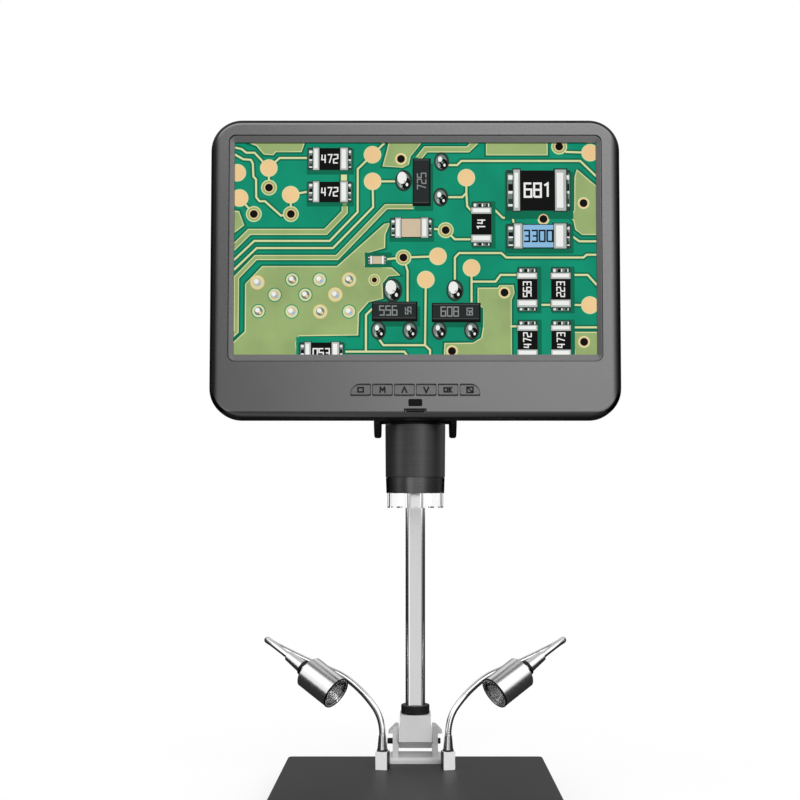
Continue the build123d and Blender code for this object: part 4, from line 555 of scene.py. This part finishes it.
pour([(10.7, -2), (21.5, 1.7), (29, 10.5), (38.2, 11.2), (40.7, 8), (66.5, 8), (70, -2)])
pour([(-2, 68), (4, 68.8), (9, 82.5), (-2, 91)])
pour([(155.7, -2), (188.5, -2), (176.5, 12.8), (174.8, 20.8), (169, 23.8), (149.3, 22.5), (153.2, 8.3)])
pour([(253.7, -2), (314.8, -2), (314.8, 11.2), (253.7, 11.2)])
pour([(344.8, 26.7), (366, 45), (366, 91.7), (349.8, 91.7), (343.2, 86.7), (341.5, 78.3), (338.2, 74.2),
      (342.3, 67.5), (342.8, 34.2)])
pour([(-3, 203), (11.5, 189.2), (11.5, 141.7), (28.2, 124.2), (103.2, 124.2), (150.7, 81.7), (155.7, 80.8),
      (151.2, 91.7), (150.8, 105), (133.2, 110), (130.7, 115.8), (130.7, 122.5), (158.2, 125.8),
      (165.7, 132.5), (154.8, 133.3), (148.2, 140.8), (149, 155.8), (134.8, 159.2), (124.8, 170.8),
      (124, 192.5), (64.8, 193.3), (61.5, 200.8), (64, 216), (-3, 216)])
pour([(244.8, 145.8), (264.8, 145.8), (266.5, 143.3), (279.8, 143.3), (280.7, 150.8), (277.8, 157.5),
      (277.8, 216), (210.7, 216), (211.5, 201.2), (239.8, 200.8), (248.2, 195.8), (249.8, 187.5),
      (249.8, 165.8), (244.8, 160.8)])
pour([(340.7, 190), (366, 190), (366, 216), (342.3, 216), (340.7, 202.5)])

TRACES = [
    [(-2, 3.5), (6.5, 5.5), (11.2, 9.2), (19.5, 9.2), (34, 24.7)],
    [(-2, 10), (8.2, 15.8), (15.7, 16.3), (17.8, 20), (18.5, 33.3), (21.2, 36.2), (21.5, 54.2), (24.8, 58.3),
     (30.3, 58.3), (46.5, 72.8), (56.5, 71.2)],
    [(34, 24.7), (44.8, 14.5), (73.2, 14.5)],
    [(34, 24.7), (34.3, 44.5)],
    [(56.2, 51.7), (73.2, 48.7)],
    [(56.2, 51.7), (56.5, 71.2)],
    [(4.8, 55), (19.2, 71.2)],
    [(138.5, 11.2), (123.7, 25.8), (123.7, 69.2), (95.7, 98.3), (19.8, 98.3), (-2, 119)],
    [(138.5, 11.2), (152, -2)],
    [(138.7, 38.2), (139.3, 64.2), (99, 105.5), (22.3, 105.5), (-2, 129)],
    [(138.7, 38.2), (165, 38.2)],
    [(214.8, 21.7), (224, 21.7), (228.2, 17.5), (348.2, 17.5), (366, 35)],
    [(327, 3), (334, 8.4), (358.2, 9.2)],
    [(207.3, 54.2), (229, 54.2), (233.2, 50), (233.2, 34.5)],
    [(233.2, 50), (234, 63.3), (240, 70)],
    [(259.8, 65), (269.8, 75), (279.8, 75), (281, 82)],
    [(237.3, 96.7), (221.5, 96.7), (212.3, 87.5), (199, 86)],
    [(338.2, 92.5), (346.5, 98.7), (366, 98.7)],
    [(221.5, 140), (221.5, 115), (225.7, 110.5), (268.2, 110.5), (273.2, 115), (350.7, 115), (354, 112.2),
     (366, 112.2)],
    [(150, 117), (169.8, 115), (204.5, 113.8)],
    [(169.8, 115), (174, 128.3), (174, 160)],
    [(238.2, 125.5), (238.2, 160)],
    [(238.2, 139.2), (262.3, 139.2), (267.3, 132.5), (284, 132.5)],
    [(192.3, 137.2), (191.5, 202.8), (196.5, 207.5), (196.5, 216)],
    [(144.8, 196), (149.8, 202.8), (191.5, 202.8)],
    [(110.7, 209.2), (170.7, 209.2), (176, 216)],
    [(132.3, 209), (132.3, 172.5), (140, 165)],
    [(300, 162.5), (320, 162.5)],
    [(335, 162.5), (356.8, 162.8)],
    [(336, 132.5), (354.8, 132.5), (366, 145)],
    [(336, 185), (366, 185)],
    [(277, 184), (286, 184)],
]
for points in TRACES:
    trace(points)
trace([(109.8, 24), (109.8, 40)], 6.0)
trace([(110.7, 58), (110.7, 69.2), (91.5, 89.2), (14.8, 89.2), (-2, 106)], 6.0, True)
trace([(180, 63.8), (152.3, 63.8), (103.2, 115), (21.5, 115), (2.3, 135), (2.3, 189), (-3, 194)], 5.0, True)
trace([(184.8, 15), (192.3, 5.8), (234.8, 5.8), (243, -2)], 6.0, True)

PADS = [(34, 24.7), (2.3, 29.5), (56.2, 51.7), (4.8, 55), (138.5, 11.2), (138.7, 38.2), (233.2, 34.5),
        (358.2, 9.2), (204.5, 113.8), (238.2, 125.5), (192.3, 137.2), (356.8, 162.8)]
VIAS = [(34.3, 44.5), (19.2, 71.2), (56.5, 71.2), (212.3, 87.5), (169.8, 115), (327, 3)]
SMALL_VIAS = [(167.3, 15.5), (351.2, 60.2), (310.7, 76.2), (271.2, 150.2), (218.5, 208.7), (350.7, 199.5)]
SMALL_RING = 6.0
SMALLEST_HOLE = 2.6
for x, y in PADS:
    pad(x, y)
for x, y in VIAS:
    via(x, y)
for x, y in SMALL_VIAS:
    via(x, y, SMALL_RING)
via(140.7, 137.5, SMALL_RING, SMALLEST_HOLE)

# Soldered holes of a connector.
JOINTS = [(23.2, 140), (58.2, 137.2), (85.7, 137.2), (115.3, 137.2), (40.7, 152.5), (71.5, 152.5),
          (101.5, 152.2), (24.5, 168.8), (57.8, 169.2), (86.5, 169.2), (115.3, 169.2)]
for index, (x, y) in enumerate(JOINTS):
    picture.disc(3, GREEN if index % 3 else TAN, x, y, 7.2)
    picture.disc(4, CREAM, x, y, 6.2)
    picture.disc(5, SOLDER if index % 2 else BEIGE, x, y, 4.2)
    picture.disc(6, WHITE, x - 1.0, y - 1.0, 2.4)
    picture.disc(6, TAN if index % 2 else BLUE, x + 1.6, y + 1.4, 1.5)

resistor(73.2, 3.3, 118.2, 27.5, "472", height=8.4)
resistor(73.2, 37.5, 118.2, 60.0, "472", height=8.4)
resistor(273.2, 25.0, 338.2, 69.2, "681", height=13.5,
         shares=(0.0, 0.115, 0.215, 0.76, 0.93, 1.0))
resistor(273.2, 80.0, 338.2, 106.7, "3300", BLUE, BLACK, height=11.0,
         shares=(0.0, 0.12, 0.25, 0.74, 0.93, 1.0))
resistor(237.3, 59.2, 259.0, 104.2, "14", upright=False, height=8.0)
resistor(283.2, 125.0, 304.8, 169.2, "563", upright=False, height=7.6)
resistor(317.0, 125.0, 338.2, 169.2, "223", upright=False, height=7.6)
resistor(283.2, 178.0, 304.8, 218.0, "472", upright=False, height=7.6)
resistor(317.0, 178.0, 338.2, 218.0, "473", upright=False, height=7.6)
picture.box(3, GREEN, 62.5, 194.5, 112.0, 214)
resistor(65.7, 199.0, 110.0, 222.0, "053", height=8.4)
resistor(156.5, 74.2, 199.0, 95.8, "", BEIGE)
picture.box(3, DARK_GREEN, 131.0, 110.0, 158.0, 125.0)
resistor(134.0, 113.0, 152.5, 122.0, "", BEIGE)

transistor(179.0, 15.0, 197.3, 63.3,
           [(208.2, 18.3, 7, False), (207.3, 54.2, 7, False), (170.0, 37.5, 8, True)], "725", False)
transistor(138.2, 159.2, 184.0, 179.2,
           [(144.8, 188.0, 7, False), (176.5, 188.0, 7, False), (159.0, 148.0, 9, True)], "556")
transistor(198.2, 160.5, 247.3, 180.0,
           [(205.7, 188.0, 7, False), (238.2, 188.0, 7, False), (221.5, 148.0, 8, True)], "608")
picture.build()


# ---------------------------------------------------------------- marks on the keys
INK = finish("key_ink", srgb(22), 0.6, bump=0.0, Specular_IOR_Level=0.2)
KEYS = ["power", "menu", "up", "down", "ok", "capture"]
# Strokes in millimetres from each key's middle.
KEY_MARKS = {
    "power": [[(-1.6, -1.3), (1.6, -1.3), (1.6, 1.3), (-1.6, 1.3), (-1.6, -1.3)]],
    "menu": [[(-1.5, -1.5), (-1.2, 1.5), (0, -0.4), (1.2, 1.5), (1.5, -1.5)]],
    "up": [[(-1.4, -1.5), (0, 1.6), (1.4, -1.5)]],
    "down": [[(-1.4, 1.5), (0, -1.6), (1.4, 1.5)]],
    "ok": [[(-2.4, -1.2), (-0.4, -1.2), (-0.4, 1.2), (-2.4, 1.2), (-2.4, -1.2)],
           [(0.7, 1.4), (0.7, -1.4)], [(2.2, 1.4), (0.7, 0), (2.2, -1.4)]],
    "capture": [[(-1.8, -1.6), (1.8, -1.6), (1.8, 1.6), (-1.8, 1.6), (-1.8, -1.6)],
                [(-0.8, 0.9), (0.9, -0.9)]],
}
MARK_WIDTH = 0.95
MARK_LIFT = 0.03


def key_mark(number, name):
    """Flat printed strokes on one key's face."""
    middle = (number - (len(KEYS) - 1) / 2) * BUTTON_PITCH
    mesh = bmesh.new()
    depth = -BUTTON_PROUD - MARK_LIFT
    for stroke in KEY_MARKS[name]:
        for first, second in zip(stroke, stroke[1:]):
            a, b = Vector(first), Vector(second)
            along = (b - a).normalized() * MARK_WIDTH / 2
            side = Vector((-along.y, along.x))
            corners = [a - along + side, b + along + side, b + along - side, a - along - side]
            mesh.faces.new([mesh.verts.new(on_screen(middle + c.x, depth, BUTTON_Z + c.y)) for c in corners])
    for face in mesh.faces:
        face.normal_update()
        if face.normal.y > 0:
            face.normal_flip()
    mark = add_mesh("key_mark_" + name, mesh, INK, smooth=False)
    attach(mark, "key_" + name)


for number, name in enumerate(KEYS):
    key_mark(number, name)


# ---------------------------------------------------------------- goosenecks
LAMPS = ((1, "right"), (-1, "left"))
NECK_RADIUS = 2.2
WIND_DEPTH = 0.02            # of the groove between two turns of the neck's wire
WIND_PITCH = 1.5
WIND_STEPS = 5               # rings of the mesh for one turn
NECK_SIDES = 20
# The right-hand lamp's places, measured from the column's axis and up from the deck, as in the CAD.
FERRULE_TIP = Vector((22.2, -27.4, 22.6))
NECK_POINTS = [(22.2, -26.4, 33.8), (33.8, -20.5, 48.9), (48.3, -14.5, 60.6), (61.8, -12.2, 65.8),
               (75.0, -10.0, 70.8), (101.4, -8.0, 83.6)]
LAMP_CENTRE = Vector((61.6, -42.5, 60.5))
LAMP_TARGET = Vector((0.0, -80.0, 20.0))
LAMP_AXIS = (LAMP_TARGET - LAMP_CENTRE).normalized()
TAIL_LENGTH = 32.0           # from the lamp's middle back to the end of its cone
TAIL_END = LAMP_CENTRE - LAMP_AXIS * TAIL_LENGTH
TURN_OFFSET = 21.7           # from there on to the outer corner of the neck's curve
TAIL_TURN = TAIL_END - LAMP_AXIS * TURN_OFFSET


def placed(point, side):
    """A point of the lamp in the object's own metres, mirrored for the left-hand lamp."""
    return Vector((point.x * side, point.y - ORIGIN_Y, point.z + DECK_TOP)) * MM


def smooth_path(points, step):
    """Quadratic curve that runs from the middle of one leg of the points to the middle of the next."""
    knots = [points[0]] + [(a + b) / 2 for a, b in zip(points[1:], points[2:-1])] + [points[-1]]
    path = [points[0]]
    for start, corner, end in zip(knots, points[1:-1], knots[1:]):
        count = max(2, round(((corner - start).length + (end - corner).length) / step))
        for index in range(1, count + 1):
            t = index / count
            path.append(start * (1 - t) ** 2 + corner * 2 * t * (1 - t) + end * t ** 2)
    return path


def neck_skin(name, path, offset, side):
    """Wound tube round a stretch of the neck's path."""
    mesh = bmesh.new()
    rings = []
    normal = Vector((0, 1, 0))
    for index, point in enumerate(path):
        ahead = path[min(index + 1, len(path) - 1)] - path[max(index - 1, 0)]
        ahead.normalize()
        normal = (normal - ahead * normal.dot(ahead)).normalized()
        other = ahead.cross(normal)
        phase = 2 * math.pi * (index + offset) / WIND_STEPS
        radius = NECK_RADIUS - WIND_DEPTH * (0.5 - 0.5 * math.cos(phase))
        ring = []
        for number in range(NECK_SIDES):
            turn = 2 * math.pi * number / NECK_SIDES
            spot = point + (normal * math.cos(turn) + other * math.sin(turn)) * radius
            ring.append(mesh.verts.new(placed(spot, side)))
        rings.append(ring)
    for first, second in zip(rings, rings[1:]):
        for number in range(NECK_SIDES):
            following = (number + 1) % NECK_SIDES
            mesh.faces.new([first[number], first[following], second[following], second[number]])
    mesh.faces.new(rings[0])
    mesh.faces.new(rings[-1])
    bmesh.ops.recalc_face_normals(mesh, faces=mesh.faces)
    return add_mesh(name, mesh, MATERIALS["neck_chrome"])


neck_line = smooth_path([FERRULE_TIP] + [Vector(p) for p in NECK_POINTS] + [TAIL_TURN, TAIL_END],
                        WIND_PITCH / WIND_STEPS)


def nearest(point):
    """Index of the neck's path point nearest to a place."""
    return min(range(len(neck_line)), key=lambda index: (neck_line[index] - point).length)


first_cut = nearest(Vector(NECK_POINTS[1]))
second_cut = nearest(Vector(NECK_POINTS[5]))
for side, word in LAMPS:
    root = neck_skin("neck_skin_root_" + word, neck_line[:first_cut + 1], 0, side)
    loop = neck_skin("neck_skin_loop_" + word, neck_line[first_cut:second_cut + 1], first_cut, side)
    tail = neck_skin("neck_skin_tail_" + word, neck_line[second_cut:], second_cut, side)
    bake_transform(root)
    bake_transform(loop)
    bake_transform(tail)
    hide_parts("lamp_neck_lower_" + word)
    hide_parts("lamp_neck_upper_" + word)


# ---------------------------------------------------------------- lamp rims and rings
TURN_SIDES = 64
RUBBER = finish("trim_rubber", srgb(14), 0.4, bump=0.1, Specular_IOR_Level=0.3)
RIM_GLOSS = finish("rim_gloss", srgb(22), 0.2, metal=0.6, bump=0.02)
# Profiles of (radius, distance towards the aim) from the lamp's middle.
RIM_PROFILE = [(9.95, 12.2), (10.2, 13.1), (10.6, 13.35), (11.05, 13.15), (11.2, 12.6), (11.05, 12.1)]
TAIL_RING = [(3.9, -16.4), (5.4, -16.5), (5.6, -17.3), (5.4, -18.3), (3.9, -18.4)]


def turned(name, profile, origin, axis, material, body):
    """A closed profile of (radius, distance along the axis) turned round the axis."""
    mesh = bmesh.new()
    along = axis.normalized()
    across = along.orthogonal().normalized()
    other = along.cross(across)
    rings = []
    for number in range(TURN_SIDES):
        turn = 2 * math.pi * number / TURN_SIDES
        out = across * math.cos(turn) + other * math.sin(turn)
        rings.append([mesh.verts.new(origin + (out * radius + along * reach) * MM)
                      for radius, reach in profile])
    for first, second in zip(rings, rings[1:] + rings[:1]):
        for number in range(len(profile)):
            following = (number + 1) % len(profile)
            mesh.faces.new([first[number], first[following], second[following], second[number]])
    bmesh.ops.recalc_face_normals(mesh, faces=mesh.faces)
    piece = add_mesh(name, mesh, material)
    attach(piece, body)


for side, word in LAMPS:
    middle = placed(LAMP_CENTRE, side)
    aim = placed(LAMP_TARGET, side) - middle
    turned("lamp_rim_" + word, RIM_PROFILE, middle, aim, RIM_GLOSS, "lamp_" + word)
    turned("lamp_tail_ring_" + word, TAIL_RING, middle, aim, RUBBER, "lamp_" + word)


# ---------------------------------------------------------------- painted shade strips on the clamps
CLAMP_PLACE = Vector((22.2, -27.4, 0.0))
CLAMP_YAW = math.radians(12.0)
CLAMP_HALF = 4.0
# A thin black strip on each clamp's inner face, as painted shade for that face: its extent from the clamp's
# inner face, in the clamp's own directions.
PAINTED_SHADE_STRIP_X = (-0.32, 0.05)
PAINTED_SHADE_STRIP_Y = (-3.5, 3.5)
PAINTED_SHADE_STRIP_Z = (0.1, 11.8)
PAINTED_SHADE_STRIP_ROUND = 0.08
for side, word in LAMPS:
    mesh = bmesh.new()
    corners = []
    for x, y, z in itertools.product(PAINTED_SHADE_STRIP_X, PAINTED_SHADE_STRIP_Y, PAINTED_SHADE_STRIP_Z):
        across = x - CLAMP_HALF
        turned_x = across * math.cos(CLAMP_YAW) - y * math.sin(CLAMP_YAW)
        turned_y = across * math.sin(CLAMP_YAW) + y * math.cos(CLAMP_YAW)
        corners.append(mesh.verts.new(placed(CLAMP_PLACE + Vector((turned_x, turned_y, z)), side)))
    bmesh.ops.convex_hull(mesh, input=corners)
    bmesh.ops.recalc_face_normals(mesh, faces=mesh.faces)
    bmesh.ops.dissolve_limit(mesh, angle_limit=0.01, verts=mesh.verts, edges=mesh.edges)
    bmesh.ops.bevel(mesh, geom=list(mesh.edges), offset=PAINTED_SHADE_STRIP_ROUND * MM, segments=2, affect="EDGES")
    # Painted shade: a dark rubber sheet where the clamp's inner face lies in shade.
    painted_shade_strip = add_mesh("clamp_painted_shade_strip_" + word, mesh, RUBBER, smooth=False)
    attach(painted_shade_strip, "stand")


# ---------------------------------------------------------------- the hood's pads and ribs
HOOD_AXIS_Y = -80.0 - ORIGIN_Y
HOOD_LOW = 191.7
HOOD_HIGH = 200.9
HOOD_INNER = 16.3
HOOD_OUTER = 17.65
SKIN = 0.02                  # between the dark pieces and the hood's own faces
PAD_TURNS = [number * 36 for number in range(1, 10) if number != 5]   # degrees from the front, not 0 or 180
PAD_HALF = 4.4
PAD_HEIGHT = 0.85
RIB_TURNS = [65, 295]
RIB_HALF = 1.8
RIB_PROUD = 0.2              # how far the dark ribs stand out from the wall
RIB_START = 0.05             # above the hood's lower edge


def curved_pads(name, turns, half, inner, outer, low, high, steps=6):
    """Blocks bent round the optical axis, one at each angle from the front."""
    mesh = bmesh.new()
    for centre in turns:
        columns = []
        for index in range(steps + 1):
            turn = math.radians(centre - half + 2 * half * index / steps)
            out = Vector((math.sin(turn), -math.cos(turn), 0))
            base = Vector((0, HOOD_AXIS_Y, 0))
            columns.append([mesh.verts.new((base + out * radius + Vector((0, 0, z))) * MM)
                            for radius, z in ((inner, low), (outer, low), (outer, high), (inner, high))])
        for first, second in zip(columns, columns[1:]):
            for number in range(4):
                following = (number + 1) % 4
                mesh.faces.new([first[number], first[following], second[following], second[number]])
        mesh.faces.new(columns[0])
        mesh.faces.new(columns[-1])
    bmesh.ops.recalc_face_normals(mesh, faces=mesh.faces)
    pads = add_mesh(name, mesh, RUBBER, smooth=False)
    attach(pads, "lens_ring")


curved_pads("hood_pads", PAD_TURNS, PAD_HALF, HOOD_INNER + SKIN, HOOD_OUTER - SKIN,
            HOOD_LOW + SKIN, HOOD_LOW + PAD_HEIGHT)
curved_pads("hood_ribs", RIB_TURNS, RIB_HALF, HOOD_OUTER + SKIN, HOOD_OUTER + RIB_PROUD,
            HOOD_LOW + RIB_START, HOOD_HIGH)


# ---------------------------------------------------------------- camera
EYE_HEIGHT = 193.4
EYE_DISTANCE = 837.2         # in front of the column's axis
LENS = 54.0
PHOTO_SIZE = 800             # pixels; the photograph is square
CENTRE_RIGHT = -15.3         # pixels from the straight view ahead to the photograph's middle
CENTRE_UP = 105.1
camera = bpy.data.objects.new("camera", bpy.data.cameras.new("camera"))
bpy.context.scene.collection.objects.link(camera)
camera.data.lens = LENS
camera.data.shift_x = CENTRE_RIGHT / PHOTO_SIZE
camera.data.shift_y = CENTRE_UP / PHOTO_SIZE
camera.location = Vector((0, -EYE_DISTANCE - ORIGIN_Y, EYE_HEIGHT)) * MM
camera.rotation_euler = (math.radians(90), 0, 0)
bpy.context.scene.camera = camera


# ---------------------------------------------------------------- lights, world and floor
LIGHTS = [                   # name, place, point it aims at, width, height and power
    ("key", (1.0, -1.9, 0.9), (0, 0, 0.25), 1.0, 1.0, 27),
    ("fill", (-1.8, -0.85, 0.6), (0, 0, 0.2), 1.0, 1.4, 16),
    ("front", (0, -1.7, 1.6), (0, 0, 0.25), 0.7, 0.5, 12),
    ("top", (0, 0.1, 1.8), (0, 0, 0.1), 1.4, 1.0, 4),
    ("back", (0.2, 1.7, 1.3), (0, 0, 0.2), 1.6, 1.0, 6),
]


def area_light(name, place, aim, width, height, power):
    """A soft light panel aimed at a point."""
    data = bpy.data.lights.new(name, "AREA")
    data.shape = "RECTANGLE"
    data.size = width
    data.size_y = height
    data.energy = power
    lamp = bpy.data.objects.new(name, data)
    bpy.context.scene.collection.objects.link(lamp)
    lamp.location = place
    lamp.rotation_euler = (Vector(aim) - Vector(place)).to_track_quat("-Z", "Y").to_euler()
    lamp.visible_glossy = False      # what shines back is the world's own panels


for light in LIGHTS:
    area_light(*light)

# Brightness seen in reflections, by direction round the object, in degrees from the front to the right.
ROUND_LIGHT = [(-180, 0.05), (-150, 0.06), (-135, 0.1), (-105, 0.2), (-85, 0.6), (-67, 1.5), (-52, 0.8),
               (-38, 0.4), (-20, 0.34), (-5, 0.36), (5, 0.5), (14, 1.0), (26, 2.2), (36, 1.4), (46, 0.6),
               (60, 0.36), (80, 0.3), (98, 0.42), (115, 0.75), (128, 0.65), (140, 0.3), (160, 0.1),
               (180, 0.05)]
# The same higher up.
UPPER_LIGHT = [(-180, 0.3), (-160, 0.3), (-140, 0.08), (-120, 0.06), (-80, 0.2), (-66, 1.25), (-48, 1.25),
               (-36, 0.3), (-14, 0.14), (-8, 0.2), (-4, 0.85), (1, 1.45), (12, 1.42), (34, 1.35),
               (66, 1.25), (80, 0.2), (120, 0.06), (140, 0.08), (160, 0.3), (180, 0.3)]
UPPER_SPAN = (0.07, 0.14)    # sines of the elevations between which it takes over
# The same on the floor far from the object, seen only in reflections.
FLOOR_LIGHT = [(-180, 0.02), (-110, 0.02), (-80, 0.03), (-50, 0.04), (-37, 0.15), (-31, 0.8), (-25, 1.15),
               (-12, 1.1), (-6, 0.71), (8, 0.71), (15, 0.5), (30, 0.26), (50, 0.08), (90, 0.03),
               (130, 0.02), (180, 0.02)]
# The same by height: the sine of the direction's elevation.
HEIGHT_LIGHT = [(-1.0, 0.2), (-0.3, 0.3), (-0.12, 0.9), (0.1, 1.0), (0.8, 1.0), (0.9, 0.62), (1.0, 0.58)]
# Overhead the directions run together: brightness from the front (-1) to the back (1).
POLE_LIGHT = [(-1.0, 1.8), (-0.3, 1.8), (0.0, 1.2), (0.4, 0.9), (1.0, 0.8)]
POLE_SPAN = (0.35, 0.6)      # sines of the elevations between which it takes over
AMBIENT = 0.5                # the world's light on surfaces that aren't glossy
WHITE_LIGHT = (1, 1, 1, 1)

FLOOR_RADIUS = 40.0          # metres, far past the view's horizon
FLOOR_SIDES = 96
FLOOR_TONE = (0.95, 0.95, 0.95, 1)      # as the camera sees it
FLOOR_BOUNCE = (0.4, 0.4, 0.4, 1)       # as it lights the object
SHADOW_SPAN = (0.13, 0.4)    # metres from the middle over which the floor turns to plain white
SHADOW_START = 0.7           # share of plain white under the object
MIRROR_SPAN = (0.12, 0.5)    # metres over which reflections of the floor turn to FLOOR_LIGHT
MIRROR_START = 0.97


def brightness_ramp(nodes, links, value, low, high, stops):
    """A colour ramp over a value's range, with grey levels at the stops."""
    ramp = nodes.new("ShaderNodeValToRGB")
    links.new(mapped(nodes, links, value, low, high), ramp.inputs["Fac"])
    elements = ramp.color_ramp.elements
    last = len(stops) - 1
    for index, (place, level) in enumerate(stops):
        position = (place - low) / (high - low)
        if 0 < index < last:
            element = elements.new(position)
        else:
            element = elements[0 if index == 0 else -1]
        element.position = position
        element.color = (level, level, level, 1)
    return ramp.outputs["Color"]


def split_place(nodes, links, place):
    """The three coordinates of a place or a direction."""
    split = nodes.new("ShaderNodeSeparateXYZ")
    links.new(place, split.inputs["Vector"])
    return [split.outputs[axis] for axis in "XYZ"]


def round_brightness(nodes, links, x, y, levels):
    """Brightness by the direction of a place round the object."""
    turn = computed(nodes, links, "ARCTAN2", x, computed(nodes, links, "MULTIPLY", y, -1.0))
    stops = [(math.radians(angle), level) for angle, level in levels]
    return brightness_ramp(nodes, links, turn, -math.pi, math.pi, stops)


def seen_directly(nodes, links, rays):
    """1 for rays from the camera, also through glass."""
    return computed(nodes, links, "MAXIMUM", rays.outputs["Is Camera Ray"],
                    rays.outputs["Is Transmission Ray"])


def shining(nodes, links, kind, color, strength=1.0):
    """What a background or emission shader gives out."""
    node = nodes.new(kind)
    feed(links, color, node.inputs["Color"])
    node.inputs["Strength"].default_value = strength
    return node.outputs[kind.removeprefix("ShaderNode")]


def mixed_shader(nodes, links, factor, first, second):
    """Two shaders mixed by a factor."""
    node = nodes.new("ShaderNodeMixShader")
    for number, given in enumerate((factor, first, second)):
        links.new(given, node.inputs[number])
    return node.outputs["Shader"]


def studio_world():
    """White to the camera and through glass; reflections see pale panels in front and dark sides."""
    world = bpy.data.worlds.new("studio")
    world.use_nodes = True
    nodes, links = world.node_tree.nodes, world.node_tree.links
    nodes.clear()
    x, y, height = split_place(nodes, links, nodes.new("ShaderNodeTexCoord").outputs["Generated"])
    level = round_brightness(nodes, links, x, y, ROUND_LIGHT)
    higher = round_brightness(nodes, links, x, y, UPPER_LIGHT)
    sides = mixed(nodes, links, mapped(nodes, links, height, *UPPER_SPAN), level, higher)
    pole = brightness_ramp(nodes, links, y, -1.0, 1.0, POLE_LIGHT)
    around = mixed(nodes, links, mapped(nodes, links, height, *POLE_SPAN), sides, pole)
    upright = brightness_ramp(nodes, links, height, -1.0, 1.0, HEIGHT_LIGHT)
    panels = mixed(nodes, links, 1.0, around, upright, "MULTIPLY")
    glossy = shining(nodes, links, "ShaderNodeBackground", panels)
    ambient = shining(nodes, links, "ShaderNodeBackground", WHITE_LIGHT, AMBIENT)
    white = shining(nodes, links, "ShaderNodeBackground", WHITE_LIGHT)
    rays = nodes.new("ShaderNodeLightPath")
    lighting = mixed_shader(nodes, links, rays.outputs["Is Glossy Ray"], ambient, glossy)
    whole = mixed_shader(nodes, links, seen_directly(nodes, links, rays), lighting, white)
    links.new(whole, nodes.new("ShaderNodeOutputWorld").inputs["Surface"])
    bpy.context.scene.world = world


def studio_floor():
    """Pale floor that keeps the shadow near the object and fades to white further out."""
    mesh = bmesh.new()
    bmesh.ops.create_circle(mesh, cap_ends=True, segments=FLOOR_SIDES, radius=FLOOR_RADIUS)
    material, nodes, links = new_material("floor_paper")
    shader = nodes["Principled BSDF"]
    shader.inputs["Roughness"].default_value = 0.9
    shader.inputs["Specular IOR Level"].default_value = 0.1
    rays = nodes.new("ShaderNodeLightPath")
    tone = mixed(nodes, links, rays.outputs["Is Camera Ray"], FLOOR_BOUNCE, FLOOR_TONE)
    links.new(tone, shader.inputs["Base Color"])
    place = nodes.new("ShaderNodeNewGeometry").outputs["Position"]
    length = nodes.new("ShaderNodeVectorMath")
    length.operation = "LENGTH"
    links.new(place, length.inputs[0])
    away = length.outputs["Value"]
    fade = mapped(nodes, links, away, *SHADOW_SPAN, start=SHADOW_START, smooth=True)
    seen = computed(nodes, links, "MULTIPLY", seen_directly(nodes, links, rays), fade)
    white = shining(nodes, links, "ShaderNodeEmission", WHITE_LIGHT)
    paper = mixed_shader(nodes, links, seen, shader.outputs["BSDF"], white)
    x, y, _ = split_place(nodes, links, place)
    around = round_brightness(nodes, links, x, y, FLOOR_LIGHT)
    mirrored = shining(nodes, links, "ShaderNodeEmission", around)
    far = mapped(nodes, links, away, *MIRROR_SPAN, start=MIRROR_START, smooth=True)
    glossy = computed(nodes, links, "MULTIPLY", rays.outputs["Is Glossy Ray"], far)
    whole = mixed_shader(nodes, links, glossy, paper, mirrored)
    links.new(whole, nodes["Material Output"].inputs["Surface"])
    floor = add_mesh("floor", mesh, material, smooth=False)


studio_world()
studio_floor()
bpy.context.scene.view_settings.view_transform = "Standard"
